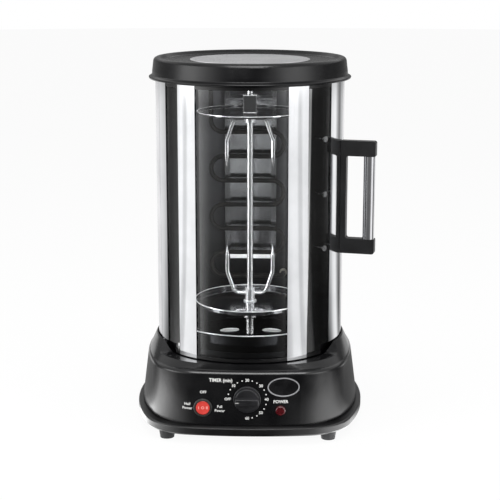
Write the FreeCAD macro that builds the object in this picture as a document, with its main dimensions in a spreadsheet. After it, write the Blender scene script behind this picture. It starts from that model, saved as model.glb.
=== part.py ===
"""Vertical electric skewer grill: a base with a timer, a drip pan, a turning spit with two forks,
a flat heating element at the back and a curved glass door hung on a vertical pivot.

Millimetres, +Z up, the floor at z = 0 and the front towards -Y. Bearings round the tower are
counted from the front, positive towards +X. The spit's axis stands at x = axis_x.
"""
import FreeCAD, Part
import math
import os
from types import SimpleNamespace

import Sketcher

Vector = FreeCAD.Vector

SIZES = {
    # spit axis, measured from the middle of the footprint
    "axis_x": -6.5,
    # feet and plinth
    "foot_height": 11.0,
    "foot_radius": 9.0,
    "foot_flare": 9.0,
    "foot_x": 104.0,
    "foot_y": 119.0,
    "plinth_height": 11.5,
    "plinth_half_x": 151.5,
    "plinth_half_y": 149.0,
    "plinth_corner": 66.0,
    "plinth_rim": 14.0,
    "plinth_floor": 2.5,
    "plinth_edge": 2.5,
    "vent_length": 40.0,
    "vent_width": 4.0,
    "vent_pitch": 10.0,
    "vent_count": 6.0,
    "plinth_bow": 290.0,
    "housing_bow": 230.0,
    "deck_bow": 300.0,
    "front_bow": 650.0,
    # housing
    "groove_height": 1.5,
    "groove_depth": 2.0,
    "housing_height": 69.0,
    "housing_half_x": 145.5,
    "housing_half_y": 139.5,
    "housing_corner": 72.0,
    "deck_half_x": 136.5,
    "deck_half_y": 135.0,
    "deck_corner": 64.0,
    "housing_wall": 3.0,
    "deck_edge": 5.0,
    "deck_opening": 100.0,
    "deck_rise": 7.0,
    "deck_slope_radius": 127.2,
    "collar_rise": 12.0,
    "collar_foot_drop": 4.0,
    "collar_foot_x": 136.3,
    "collar_foot_y": 127.8,
    "collar_foot_corner": 62.0,
    "collar_corner": 118.0,
    "collar_bow": 140.0,
    "ramp_round": 16.0,
    "collar_top_width": 1.8,
    "collar_gap": 1.1,
    "ledge_depth": 4.0,
    "ramp_front_y": 76.0,
    "ramp_back_y": 54.0,
    # tower
    "tower_radius": 123.5,
    "tower_height": 356.6,
    "shell_wall": 0.8,
    "shell_start": 76.2,
    "shell_end": 291.0,
    "liner_radius": 116.8,
    "liner_start": 77.2,
    "liner_end": 284.0,
    "tray_radius": 117.8,
    "tray_upstand": 16.5,
    "tray_hole": 9.0,
    "sheet_wall": 0.8,
    # ceiling and lid
    "ceiling_radius": 114.8,
    "ceiling_drop": 3.1,
    "ceiling_wall": 1.0,
    "lid_height": 27.4,
    "lid_lip_radius": 132.2,
    "lid_lip_height": 5.0,
    "lid_wall_radius": 127.4,
    "lid_rim_radius": 117.0,
    "lid_rib_radius": 113.0,
    "lid_rib_width": 6.0,
    "lid_recess_radius": 113.0,
    "lid_rim_edge": 1.2,
    "lid_recess": 4.4,
    "lid_wall": 2.7,
    "lid_edge": 5.5,
    "lid_disc_radius": 78.3,
    "lid_disc_height": 2.0,
    "lid_disc_seat": 0.8,
    # spit bearing
    "rod_radius": 4.0,
    "running_gap": 0.05,
    "bearing_flange": 11.0,
    "bearing_flange_height": 3.5,
    "bearing_barrel": 6.9,
    "bearing_depth": 15.0,
    # door
    "door_foot": 5.5,
    "swing_gap": 1.5,
    "door_head_gap": 1.3,
    "glass_outer": 122.6,
    "glass_wall": 3.0,
    "glass_start": -58.3,
    "glass_end": 57.5,
    "door_low_span": 50.0,
    "rail_wall": 0.6,
    "rail_height": 4.0,
    "rail_gap": 0.1,
    "trim_wall": 0.8,
    "trim_gap": 0.05,
    "trim_width_angle": 13.4,
    "trim_left_start": -45.5,
    "trim_right_start": 24.1,
    "stile_wall": 4.9,
    "stile_outer": 123.9,
    "stile_joint_angle": 0.05,
    "hinge_stile_start": -68.1,
    "handle_stile_end": 75.0,
    "flange_start": 50.5,
    "flange_wall": 0.8,
    "flange_gap": 0.1,
    "hinge_bearing_angle": -65.5,
    "hinge_radius": 121.3,
    "pin_radius": 2.0,
    "pin_reach_up": 6.2,
    "pin_reach_down": 9.5,
    "bush_radius": 3.2,
    "bush_gap": 0.6,
    "bush_depth": 10.5,
    "pin_end_gap": 0.5,
    "screw_angle": 52.4,
    "screw_radius": 2.4,
    "screw_head": 1.3,
    "screw_low_z": 241.0,
    "screw_pitch": 70.5,
    # handle
    "handle_root": 75.1,
    "handle_direction": 77.0,
    "handle_width": 12.0,
    "handle_stand_off": 124.2,
    "handle_spine": 7.0,
    "handle_reach": 45.1,
    "handle_low_z": 226.7,
    "handle_high_z": 375.0,
    "handle_arm": 19.8,
    "grip_radius": 7.6,
    "grip_wall": 1.0,
    "grip_inset": 8.7,
    # catch
    "catch_angle": 60.5,
    "catch_depth": 2.8,
    "catch_width": 9.0,
    "catch_height": 11.0,
    "catch_gap": 1.2,
    # drip pan
    "pan_radius": 109.0,
    "pan_height": 35.4,
    "pan_rim": 2.2,
    "pan_taper": 3.0,
    "pan_hole": 8.2,
    "pan_chimney": 9.0,
    "pan_gap": 0.3,
    # drive
    "motor_radius": 25.0,
    "motor_height": 22.0,
    "bracket_drop": 11.0,
    "bracket_half": 38.0,
    "bracket_foot": 12.0,
    "bracket_width": 26.0,
    "bracket_wall": 1.2,
    "drive_radius": 5.0,
    "drive_rise": 36.0,
    "drive_flange_radius": 8.75,
    "drive_flange_height": 3.0,
    "drive_cone": 3.0,
    "drive_insert": 12.0,
    "dog_height": 12.0,
    "socket_radius": 6.2,
    "socket_gap": 0.3,
    "socket_height": 17.2,
    # spit
    "upper_disc_radius": 69.5,
    "lower_disc_radius": 74.0,
    "disc_wall": 1.2,
    "upper_disc_rim": 2.9,
    "lower_disc_rim": 5.5,
    "disc_rim_width": 1.8,
    "skewer_circle": 61.0,
    "skewer_hole": 3.0,
    "skewer_count": 8.0,
    "washer_radius": 8.75,
    "washer_height": 1.6,
    "fork_wire": 2.75,
    "fork_hub": 7.0,
    "fork_half": 30.6,
    "fork_bar_half": 20.5,
    "fork_shoulder": 30.0,
    "fork_tine": 22.0,
    "fork_tip": 13.0,
    "fork_bend": 9.0,
    "lower_fork_rise": 12.8,
    "fork_hub_height": 12.0,
    "upper_disc_rise": 256.5,
    "upper_bar_drop": 6.4,
    "collar_half": 8.9,
    "collar_height": 22.5,
    "set_screw_radius": 2.2,
    "set_screw_head": 1.6,
    "rod_top_gap": 7.6,
    # heater and reflector
    "heater_x": -5.6,
    "heater_y": 82.0,
    "heater_radius": 3.25,
    "heater_half": 50.3,
    "heater_first": 70.0,
    "heater_pitch": 34.0,
    "heater_bend_gap": 0.6,
    "heater_join": 24.0,
    "heater_rise": 7.0,
    "heater_tail_y": 111.0,
    "heater_tail_bend": 12.0,
    "reflector_x": -1.6,
    "reflector_y": 104.0,
    "reflector_half": 29.0,
    "reflector_flange": 6.0,
    "reflector_foot": 99.0,
    "reflector_height": 224.0,
    "reflector_lip": 4.0,
    "post_width": 7.0,
    "post_depth": 10.0,
    "post_front_y": 97.5,
    "post_foot": 94.0,
    "bracket_thick": 3.0,
    "bracket_tall": 12.0,
    "terminal_radius": 5.2,
    "terminal_length": 5.0,
    # controls
    "knob_z": 57.4,
    "knob_seat": 136.0,
    "knob_skirt_radius": 17.4,
    "knob_skirt": 4.0,
    "knob_radius": 15.2,
    "knob_height": 12.0,
    "knob_ridge_half": 4.4,
    "knob_ridge_height": 8.0,
    "knob_gap": 0.4,
    "spot_gap": 0.5,
    "spindle_radius": 3.0,
    "spindle_in_knob": 9.0,
    "spindle_in_timer": 12.0,
    "timer_radius": 21.0,
    "timer_length": 26.0,
    "timer_front": 132.2,
    "timer_neck_radius": 4.6,
    "timer_neck": 3.8,
    "hole_gap": 0.2,
    "switch_x": 56.7,
    "switch_z": 45.4,
    "switch_seat": 134.2,
    "switch_radius": 10.1,
    "switch_bezel_radius": 11.9,
    "switch_bezel": 3.6,
    "switch_length": 22.0,
    "switch_cavity": 9.6,
    "rocker_radius": 9.0,
    "rocker_half": 2.5,
    "rocker_centre": 134.8,
    "rocker_floor_gap": 2.2,
    "lamp_x": 42.5,
    "lamp_z": 42.6,
    "lamp_seat": 135.6,
    "lamp_radius": 6.6,
    "lamp_height": 3.6,
    "lamp_barrel": 4.9,
    "lamp_length": 16.0,
    "gland_x": 40.0,
    "gland_z": 45.0,
    "gland_seat": 135.6,
    "gland_flange": 9.0,
    "gland_barrel": 6.0,
    "gland_bore": 3.8,
    "gland_height": 3.0,
    "gland_length": 12.0,
    "terminal_block_x": 48.0,
    "terminal_block_y": 18.0,
    "terminal_block_z": 14.0,
    "terminal_block_back": 60.0,
    "cutout_radius": 7.5,
    "cutout_height": 5.0,
    "cutout_x": 58.0,
    "cutout_y": 40.0,
    "base_screw_radius": 3.6,
    "base_screw_head": 2.2,
    "base_screw_x": 78.0,
    "base_screw_y": 92.0,
}

doc = FreeCAD.newDocument("SkewerGrill")
sheet = doc.addObject("Spreadsheet::Sheet", "Sizes")
for row, (alias, number) in enumerate(SIZES.items(), start=1):
    sheet.set(f"A{row}", alias)
    sheet.set(f"B{row}", str(number))
    sheet.setAlias(f"B{row}", alias)
doc.recompute()


class Size:
    """A number together with the sheet formula that gives it."""

    def __init__(self, value, formula):
        self.value = value
        self.formula = formula

    @staticmethod
    def of(thing):
        return thing if isinstance(thing, Size) else Size(float(thing), repr(float(thing)))

    def __add__(self, other):
        other = Size.of(other)
        return Size(self.value + other.value, f"({self.formula} + {other.formula})")

    def __sub__(self, other):
        other = Size.of(other)
        return Size(self.value - other.value, f"({self.formula} - {other.formula})")

    def __mul__(self, other):
        other = Size.of(other)
        return Size(self.value * other.value, f"({self.formula} * {other.formula})")

    def __truediv__(self, other):
        other = Size.of(other)
        return Size(self.value / other.value, f"({self.formula} / {other.formula})")

    def __neg__(self):
        return Size(-self.value, f"(0 - {self.formula})")

    def __radd__(self, other):
        return Size.of(other) + self

    def __rsub__(self, other):
        return Size.of(other) - self

    def __rmul__(self, other):
        return Size.of(other) * self


def cosine(angle):
    return Size(math.cos(math.radians(angle.value)), f"cos({angle.formula})")


def sine(angle):
    return Size(math.sin(math.radians(angle.value)), f"sin({angle.formula})")


def bind(thing, path, size):
    thing.setExpression(path, Size.of(size).formula)


d = SimpleNamespace(**{alias: Size(number, f"Sizes.{alias}") for alias, number in SIZES.items()})

# Heights above the floor, stacked from the sheet.
z = SimpleNamespace()
z.plinth = d.foot_height
z.groove = z.plinth + d.plinth_height
z.housing = z.groove + d.groove_height
z.deck = z.housing + d.housing_height
z.rise = z.deck + d.deck_rise
z.collar = z.rise + d.collar_rise
z.ledge = z.rise - d.ledge_depth
z.tray = z.ledge + d.sheet_wall
z.pan = z.tray + d.pan_gap
z.door = z.ledge + d.door_foot
z.stile = z.collar + d.swing_gap
z.lid = z.ledge + d.tower_height
z.door_top = z.lid - d.door_head_gap
z.ceiling = z.lid - d.ceiling_drop
z.lid_top = z.lid + d.lid_height
z.bracket = z.ledge - d.bracket_drop
z.flange = z.ledge + d.drive_rise
z.disc = z.flange + d.socket_gap + d.socket_height
z.upper_disc = z.disc + d.upper_disc_rise
z.rod_top = z.ceiling + d.bearing_depth - d.rod_top_gap

# Sketching -----------------------------------------------------------------------------------


def new_body(label):
    """A body whose frame stands on the spit's axis."""
    body = doc.addObject("PartDesign::Body", label)
    body.Label = label
    bind(body, "Placement.Base.x", d.axis_x)
    return body


def new_sketch(body, plane="XZ_Plane", turn=0.0, shift=0.0):
    """A sketch on one of the body's own planes, turned about Z and moved along its own normal."""
    sketch = body.newObject("Sketcher::SketchObject", f"{body.Label}_sketch")
    origin_plane = next(f for f in body.Origin.OriginFeatures if f.Role == plane)
    sketch.AttachmentSupport = [(origin_plane, "")]
    sketch.MapMode = "FlatFace"
    axis = Vector(0, 1, 0) if plane == "XZ_Plane" else Vector(0, 0, 1)
    turn = Size.of(turn)
    shift = Size.of(shift)
    sketch.AttachmentOffset = FreeCAD.Placement(
        Vector(0, 0, shift.value), FreeCAD.Rotation(axis, turn.value))
    bind(sketch, "AttachmentOffset.Rotation.Angle", turn)
    if plane == "XZ_Plane":
        bind(sketch, "AttachmentOffset.Base.x", shift * sine(turn))
        shift = shift * cosine(turn)
    bind(sketch, "AttachmentOffset.Base.z", shift)
    return sketch


def hold(sketch, kind, *where, size):
    """One dimension of a sketch, bound to its formula."""
    size = Size.of(size)
    number = sketch.addConstraint(Sketcher.Constraint(kind, *where, size.value))
    bind(sketch, f"Constraints[{number}]", size)


def hold_point(sketch, geometry, end, x, y):
    hold(sketch, "DistanceX", geometry, end, size=x)
    hold(sketch, "DistanceY", geometry, end, size=y)


def add_arc(sketch, centre, radius, first, last):
    """An arc from one point to the next; returns its number and the numbers of its two ends."""
    angles = [math.atan2(p.y - centre.y, p.x - centre.x) for p in (first, last)]
    turn = (first - centre).cross(last - centre).z
    ends = (1, 2)
    if turn < 0:
        angles.reverse()
        ends = (2, 1)
    if angles[1] < angles[0]:
        angles[1] += 2 * math.pi
    circle = Part.Circle(centre, Vector(0, 0, 1), radius)
    return sketch.addGeometry(Part.ArcOfCircle(circle, angles[0], angles[1])), ends


def outline(sketch, corners, closed=True):
    """Straight lines through the corners, each (x, y) or (x, y, radius of its rounding)."""
    points = [Vector(Size.of(c[0]).value, Size.of(c[1]).value, 0) for c in corners]
    count = len(points)
    rounded = [len(c) > 2 and (closed or 0 < i < count - 1) for i, c in enumerate(corners)]
    before = []
    after = []
    centres = []
    for i, point in enumerate(points):
        if not rounded[i]:
            before.append(point)
            after.append(point)
            centres.append(None)
            continue
        radius = Size.of(corners[i][2]).value
        back = (points[i - 1] - point).normalize()
        ahead = (points[(i + 1) % count] - point).normalize()
        half = back.getAngle(ahead) / 2
        before.append(point + back * (radius / math.tan(half)))
        after.append(point + ahead * (radius / math.tan(half)))
        centres.append(point + (back + ahead).normalize() * (radius / math.sin(half)))
    lines = []
    for i in range(count if closed else count - 1):
        line = Part.LineSegment(after[i], before[(i + 1) % count])
        lines.append(sketch.addGeometry(line))
    for i, corner in enumerate(corners):
        into = lines[i - 1] if closed or i > 0 else None
        out = lines[i] if i < len(lines) else None
        if not rounded[i]:
            if into is not None and out is not None:
                sketch.addConstraint(Sketcher.Constraint("Coincident", into, 2, out, 1))
            held = (out, 1) if out is not None else (into, 2)
            hold_point(sketch, *held, corner[0], corner[1])
            continue
        radius = Size.of(corner[2])
        arc, ends = add_arc(sketch, centres[i], radius.value, before[i], after[i])
        sketch.addConstraint(Sketcher.Constraint("Tangent", into, 2, arc, ends[0]))
        sketch.addConstraint(Sketcher.Constraint("Tangent", arc, ends[1], out, 1))
        hold(sketch, "Radius", arc, size=radius)
        peak = sketch.addGeometry(Part.Point(points[i]), True)
        sketch.addConstraint(Sketcher.Constraint("PointOnObject", peak, 1, into))
        sketch.addConstraint(Sketcher.Constraint("PointOnObject", peak, 1, out))
        hold_point(sketch, peak, 1, corner[0], corner[1])
    return lines


def box_outline(sketch, low_x, low_y, high_x, high_y):
    outline(sketch, [(low_x, low_y), (high_x, low_y), (high_x, high_y), (low_x, high_y)])


def circle(sketch, x, y, radius):
    x, y, radius = Size.of(x), Size.of(y), Size.of(radius)
    shape = Part.Circle(Vector(x.value, y.value, 0), Vector(0, 0, 1), radius.value)
    number = sketch.addGeometry(shape)
    hold_point(sketch, number, 3, x, y)
    hold(sketch, "Radius", number, size=radius)


def bowed_square(sketch, half_x, half_y, corner, bow, front_bow=None):
    """A square with bowed sides and round corners: eight arcs, each tangent to the next."""
    front_bow = front_bow or d.front_bow
    a, b, r = half_x.value, half_y.value, corner.value
    side, front = bow.value, front_bow.value
    side_centre = Vector(a - side, 0, 0)
    front_centre = Vector(0, b - front, 0)
    reach_side = side - r
    reach_front = front - r
    # The corner's centre lies where the two bows, drawn smaller by the corner's radius, cross.
    apart = (front_centre - side_centre).Length
    along = (apart ** 2 + reach_side ** 2 - reach_front ** 2) / (2 * apart)
    across = math.sqrt(reach_side ** 2 - along ** 2)
    line = (front_centre - side_centre).normalize()
    centre = side_centre + line * along + Vector(-line.y, line.x, 0) * across
    if centre.x < 0 or centre.y < 0:
        centre = side_centre + line * along - Vector(-line.y, line.x, 0) * across
    on_side = side_centre + (centre - side_centre).normalize() * side
    on_front = front_centre + (centre - front_centre).normalize() * front
    arcs = []
    mirrors = ((1, 1), (-1, 1), (-1, -1), (1, -1))
    for index, (sx, sy) in enumerate(mirrors):
        first = Vector(on_side.x * sx, on_side.y * sy, 0)
        last = Vector(on_front.x * sx, on_front.y * sy, 0)
        if sx * sy < 0:
            first, last = last, first
        middle = Vector(centre.x * sx, centre.y * sy, 0)
        arcs.append(add_arc(sketch, middle, r, first, last)[0])
        following = mirrors[(index + 1) % 4]
        if sx * sy > 0:
            start = last
            end = Vector(on_front.x * following[0], on_front.y * following[1], 0)
            bow_centre = Vector(0, front_centre.y * sy, 0)
            bow_radius = front
        else:
            start = last
            end = Vector(on_side.x * following[0], on_side.y * following[1], 0)
            bow_centre = Vector(side_centre.x * sx, 0, 0)
            bow_radius = side
        arcs.append(add_arc(sketch, bow_centre, bow_radius, start, end)[0])
    for index in range(8):
        following = arcs[(index + 1) % 8]
        sketch.addConstraint(Sketcher.Constraint("Tangent", arcs[index], 2, following, 1))
    for index in (0, 2, 4, 6):
        hold(sketch, "Radius", arcs[index], size=corner)
    for index, sign in ((1, 1), (5, -1)):
        hold(sketch, "Radius", arcs[index], size=front_bow)
        hold_point(sketch, arcs[index], 3, 0.0, (half_y - front_bow) * sign)
    for index, sign in ((3, -1), (7, 1)):
        hold(sketch, "Radius", arcs[index], size=bow)
        hold_point(sketch, arcs[index], 3, (half_x - bow) * sign, 0.0)


# Features ------------------------------------------------------------------------------------


def volume(body):
    return body.Shape.Volume if not body.Shape.isNull() else 0.0


def finish(body, feature, before, adds):
    """Rebuild and make sure that the feature added or removed material."""
    doc.recompute()
    change = volume(body) - before
    if adds and change <= 0 or not adds and change >= 0:
        raise RuntimeError(f"{body.Label}: {feature.Name} changed the volume by {change:.3f}")
    return feature


def grow(body, kind, sketch, adds, **settings):
    before = volume(body)
    feature = body.newObject(f"PartDesign::{kind}", f"{body.Label}_{kind}")
    feature.Profile = sketch
    for name, value in settings.items():
        if isinstance(value, Size):
            bind(feature, name, value)
        else:
            setattr(feature, name, value)
    sketch.Visibility = False
    return finish(body, feature, before, adds)


def pad(body, sketch, length, **settings):
    return grow(body, "Pad", sketch, True, Length=Size.of(length), **settings)


def pocket(body, sketch, length, **settings):
    return grow(body, "Pocket", sketch, False, Length=Size.of(length), **settings)


def spin(body, corners, start=-90.0, span=360.0, cut=False):
    """Turn a profile of (radius, height) corners about the axis, from a bearing round a span."""
    sketch = new_sketch(body, turn=Size.of(start) - 90)
    outline(sketch, corners)
    kind = "Groove" if cut else "Revolution"
    return grow(body, kind, sketch, not cut, ReferenceAxis=(sketch, ["V_Axis"]), Angle=Size.of(span))


def loft(body, sections, cut=False):
    """A ruled loft between bowed squares, each (half x, half y, corner, side bow, height, front bow)."""
    sketches = []
    for half_x, half_y, corner, bow, height, *front_bow in sections:
        sketch = new_sketch(body, "XY_Plane", shift=height)
        bowed_square(sketch, half_x, half_y, corner, bow, *front_bow)
        sketches.append(sketch)
    doc.recompute()
    kind = "SubtractiveLoft" if cut else "AdditiveLoft"
    return grow(body, kind, sketches[0], not cut, Sections=sketches[1:], Ruled=True)


def round_edges(body, radius, rule, kind="Fillet"):
    """Round the edges of the body that the rule picks."""
    before = body.Tip
    names = [f"Edge{i + 1}" for i, edge in enumerate(before.Shape.Edges) if rule(edge)]
    if not names:
        raise RuntimeError(f"{body.Label}: no edge to round")
    feature = body.newObject(f"PartDesign::{kind}", f"{body.Label}_{kind}")
    feature.Base = (before, names)
    bind(feature, "Radius" if kind == "Fillet" else "Size", Size.of(radius))
    doc.recompute()
    return feature


def at_height(height):
    """A rule that picks the edges lying flat at a height of the body."""
    level = height.value
    return lambda edge: abs(edge.BoundBox.ZMin - level) < 0.01 and abs(edge.BoundBox.ZMax - level) < 0.01


def at_front(depth):
    """A rule that picks the edges lying flat at a distance in front of the axis."""
    level = -depth.value
    return lambda edge: abs(edge.BoundBox.YMin - level) < 0.01 and abs(edge.BoundBox.YMax - level) < 0.01


def round_pad(body, x, height, radius, first, length, adds=True, back=False):
    """A round boss or hole along Y, its axis at x and a height, from a distance out from the axis."""
    sketch = new_sketch(body, shift=-first if back else first)
    circle(sketch, x, height, radius)
    if adds:
        return pad(body, sketch, length, Reversed=back)
    return pocket(body, sketch, length, Reversed=not back)


def pattern_round(body, feature, count):
    """Repeat a feature evenly round the axis."""
    ring = body.newObject("PartDesign::PolarPattern", f"{body.Label}_pattern")
    ring.Originals = [feature]
    ring.Axis = (feature.Profile[0], ["N_Axis"])
    ring.Angle = 360.0
    bind(ring, "Occurrences", count)
    body.Tip = ring
    doc.recompute()


def pipe(body, path_plane, path_shift, corners, start_plane, start_shift, start, radius):
    """A round bar of a radius along a path of lines and tangent arcs."""
    before = volume(body)
    path = new_sketch(body, path_plane, shift=path_shift)
    outline(path, corners, closed=False)
    section = new_sketch(body, start_plane, shift=start_shift)
    circle(section, start[0], start[1], radius)
    doc.recompute()
    feature = body.newObject("PartDesign::AdditivePipe", f"{body.Label}_pipe")
    feature.Profile = section
    feature.Spine = (path, [f"Edge{i + 1}" for i in range(len(path.Shape.Edges))])
    finish(body, feature, before, True)


# Base ----------------------------------------------------------------------------------------


def four_ways(x, y):
    return [(x, y), (-x, y), (-x, -y), (x, -y)]


def make_base_feet():
    body = new_body("base_feet")
    sketch = new_sketch(body, "XY_Plane")
    for x, y in four_ways(d.foot_x, d.foot_y):
        circle(sketch, x, y, d.foot_radius)
    pad(body, sketch, d.foot_height, TaperAngle=d.foot_flare)


def make_base_screws():
    body = new_body("base_screws")
    sketch = new_sketch(body, "XY_Plane", shift=z.plinth - d.base_screw_head)
    for x, y in four_ways(d.base_screw_x, d.base_screw_y):
        circle(sketch, x, y, d.base_screw_radius)
    pad(body, sketch, d.base_screw_head)


def make_base_plate():
    body = new_body("base_plate")
    sketch = new_sketch(body, "XY_Plane", shift=z.plinth)
    bowed_square(sketch, d.plinth_half_x, d.plinth_half_y, d.plinth_corner, d.plinth_bow)
    pad(body, sketch, d.plinth_height)
    round_edges(body, d.plinth_edge, at_height(z.groove))
    round_edges(body, d.plinth_edge, at_height(z.plinth), "Chamfer")
    hollow = new_sketch(body, "XY_Plane", shift=z.groove)
    bowed_square(hollow, d.plinth_half_x - d.plinth_rim, d.plinth_half_y - d.plinth_rim,
                 d.plinth_corner - d.plinth_rim, d.plinth_bow)
    pocket(body, hollow, d.plinth_height - d.plinth_floor)
    vent = new_sketch(body, "XY_Plane", shift=z.plinth + d.plinth_floor)
    half = d.vent_width / 2
    start = -d.vent_pitch * (d.vent_count - 1) / 2
    box_outline(vent, start - half, -d.vent_length / 2, start + half, d.vent_length / 2)
    slot = pocket(body, vent, d.plinth_floor)
    row = body.newObject("PartDesign::LinearPattern", "base_plate_vents")
    row.Originals = [slot]
    row.Direction = (vent, ["H_Axis"])
    bind(row, "Length", d.vent_pitch * (d.vent_count - 1))
    bind(row, "Occurrences", d.vent_count)
    body.Tip = row
    doc.recompute()


def make_base_housing():
    body = new_body("base_housing")
    lip = new_sketch(body, "XY_Plane", shift=z.groove)
    bowed_square(lip, d.housing_half_x - d.groove_depth, d.housing_half_y - d.groove_depth,
                 d.housing_corner - d.groove_depth, d.housing_bow)
    pad(body, lip, d.groove_height)
    loft(body, [(d.housing_half_x, d.housing_half_y, d.housing_corner, d.housing_bow, z.housing),
                (d.deck_half_x, d.deck_half_y, d.deck_corner, d.deck_bow, z.deck)])
    round_edges(body, d.deck_edge, at_height(z.deck))
    # The sloping collar: from near the deck's edge up to a ring round the rear shell.
    inner = d.tower_radius + d.collar_gap
    ring = inner + d.collar_top_width
    bevel = d.collar_top_width / 2
    loft(body, [(d.collar_foot_x, d.collar_foot_y, d.collar_foot_corner, d.deck_bow, z.deck - d.collar_foot_drop),
                (ring, ring, d.collar_corner, d.collar_bow, z.collar - bevel, d.collar_bow),
                (ring - bevel, ring - bevel, d.collar_corner - bevel, d.collar_bow - bevel, z.collar,
                 d.collar_bow - bevel)])
    inset = d.housing_wall + d.groove_depth
    loft(body, [(d.housing_half_x - inset, d.housing_half_y - inset, d.housing_corner - inset,
                 d.housing_bow, z.groove),
                (d.deck_half_x - d.housing_wall, d.deck_half_y - d.housing_wall,
                 d.deck_corner - d.housing_wall, d.deck_bow, z.deck - d.housing_wall)], cut=True)
    well = new_sketch(body, "XY_Plane", shift=z.collar)
    circle(well, 0, 0, inner)
    pocket(body, well, z.collar - z.deck)
    # The collar is cut away where the door swings, with a ramp at each end.
    front = new_sketch(body, "YZ_Plane")
    outline(front, [(-2 * d.plinth_half_y, z.rise), (-d.ramp_front_y, z.rise, d.ramp_round),
                    (-d.ramp_back_y, z.collar + d.swing_gap / 2), (-d.ramp_back_y, 2 * z.collar),
                    (-2 * d.plinth_half_y, 2 * z.collar)])
    pocket(body, front, 4 * d.plinth_half_x, Midplane=True)
    # The sloping seat round the tower and the ledge that it stands on.
    spin(body, [(d.deck_opening, z.deck - d.housing_wall), (d.deck_slope_radius, z.deck - d.housing_wall),
                (d.deck_slope_radius, z.deck), (ring, z.rise, d.collar_top_width / 2),
                (inner, z.rise), (inner, z.ledge), (d.deck_opening, z.ledge)])
    opening = new_sketch(body, "XY_Plane", shift=z.ledge)
    circle(opening, 0, 0, d.deck_opening)
    pocket(body, opening, z.ledge - z.deck + 2 * d.housing_wall)
    # Seats and holes for the controls, and the hole for the cord's bushing at the back.
    depth = d.housing_half_y
    round_pad(body, 0, d.knob_z, d.knob_skirt_radius + d.spot_gap, d.knob_seat, depth, adds=False)
    round_pad(body, 0, d.knob_z, d.timer_neck_radius + d.hole_gap, depth / 2, depth, adds=False)
    switch = -d.switch_x
    round_pad(body, switch, d.switch_z, d.switch_bezel_radius + d.hole_gap, d.switch_seat, depth, adds=False)
    round_pad(body, switch, d.switch_z, d.switch_radius + d.hole_gap, depth / 2, depth, adds=False)
    round_pad(body, d.lamp_x, d.lamp_z, d.lamp_radius + d.hole_gap, d.lamp_seat, depth, adds=False)
    round_pad(body, d.lamp_x, d.lamp_z, d.lamp_barrel + d.hole_gap, depth / 2, depth, adds=False)
    round_pad(body, d.gland_x, d.gland_z, d.gland_flange + d.hole_gap, d.gland_seat, depth,
              adds=False, back=True)
    round_pad(body, d.gland_x, d.gland_z, d.gland_barrel + d.hole_gap, depth / 2, depth,
              adds=False, back=True)


def make_cord_bushing():
    body = new_body("cord_bushing")
    round_pad(body, d.gland_x, d.gland_z, d.gland_flange, d.gland_seat, d.gland_height, back=True)
    round_edges(body, d.gland_height / 3, lambda e: abs(e.BoundBox.YMin
                - (d.gland_seat + d.gland_height).value) < 0.01)
    round_pad(body, d.gland_x, d.gland_z, d.gland_barrel, d.gland_seat - d.gland_length,
              d.gland_length, back=True)
    round_pad(body, d.gland_x, d.gland_z, d.gland_bore, d.gland_seat - 2 * d.gland_length,
              4 * d.gland_length, adds=False, back=True)


def make_chamber_floor():
    body = new_body("chamber_floor")
    top = z.ledge + d.tray_upstand
    inner = d.tray_radius - d.sheet_wall
    spin(body, [(d.tray_hole, z.ledge), (d.tray_radius, z.ledge), (d.tray_radius, top),
                (inner, top), (inner, z.tray), (d.tray_hole, z.tray)])


def make_motor_bracket():
    body = new_body("motor_bracket")
    half, foot, wall = d.bracket_half, d.bracket_foot, d.bracket_wall
    low, high = z.bracket, z.ledge
    sketch = new_sketch(body)
    right = [(half + wall, low - wall), (half + wall, high - wall), (half + foot, high - wall),
             (half + foot, high), (half, high), (half, low)]
    left = [(-x, y) for x, y in reversed(right)]
    outline(sketch, right + left)
    pad(body, sketch, d.bracket_width, Midplane=True)
    hole = new_sketch(body, "XY_Plane", shift=low)
    circle(hole, 0, 0, d.drive_radius + d.bracket_wall)
    pocket(body, hole, wall)


def make_gear_motor():
    body = new_body("gear_motor")
    top = z.bracket - d.bracket_wall
    foot = top - d.motor_height
    bore = d.drive_radius + d.running_gap
    step = d.motor_height / 3
    spin(body, [(0, foot), (d.motor_radius, foot), (d.motor_radius, top - step),
                (d.motor_radius * 0.8, top - step), (d.motor_radius * 0.8, top), (bore, top),
                (bore, top - d.drive_insert - d.bracket_wall), (0, top - d.drive_insert - d.bracket_wall)])


def make_terminal_block():
    body = new_body("terminal_block")
    floor = z.plinth + d.plinth_floor
    sketch = new_sketch(body, "XY_Plane", shift=floor)
    half = d.terminal_block_x / 2
    back = d.terminal_block_back
    box_outline(sketch, -half, back - d.terminal_block_y, half, back)
    pad(body, sketch, d.terminal_block_z)


def make_thermal_cutout():
    body = new_body("thermal_cutout")
    sketch = new_sketch(body, "XY_Plane", shift=z.ledge - d.cutout_height)
    circle(sketch, d.cutout_x, d.cutout_y, d.cutout_radius)
    pad(body, sketch, d.cutout_height)


# Controls ------------------------------------------------------------------------------------


def make_timer_body():
    body = new_body("timer_body")
    back = d.timer_front - d.timer_length
    round_pad(body, 0, d.knob_z, d.timer_radius, back, d.timer_length)
    round_pad(body, 0, d.knob_z, d.timer_neck_radius, d.timer_front, d.timer_neck)
    reach = d.spindle_in_timer + d.timer_neck
    round_pad(body, 0, d.knob_z, d.spindle_radius + d.running_gap,
              d.timer_front + d.timer_neck - reach, reach, adds=False)


def make_timer_spindle():
    body = new_body("timer_spindle")
    first = d.timer_front - d.spindle_in_timer + d.knob_gap
    last = d.knob_seat + d.knob_gap + d.spindle_in_knob
    round_pad(body, 0, d.knob_z, d.spindle_radius, first, last - first)


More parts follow.
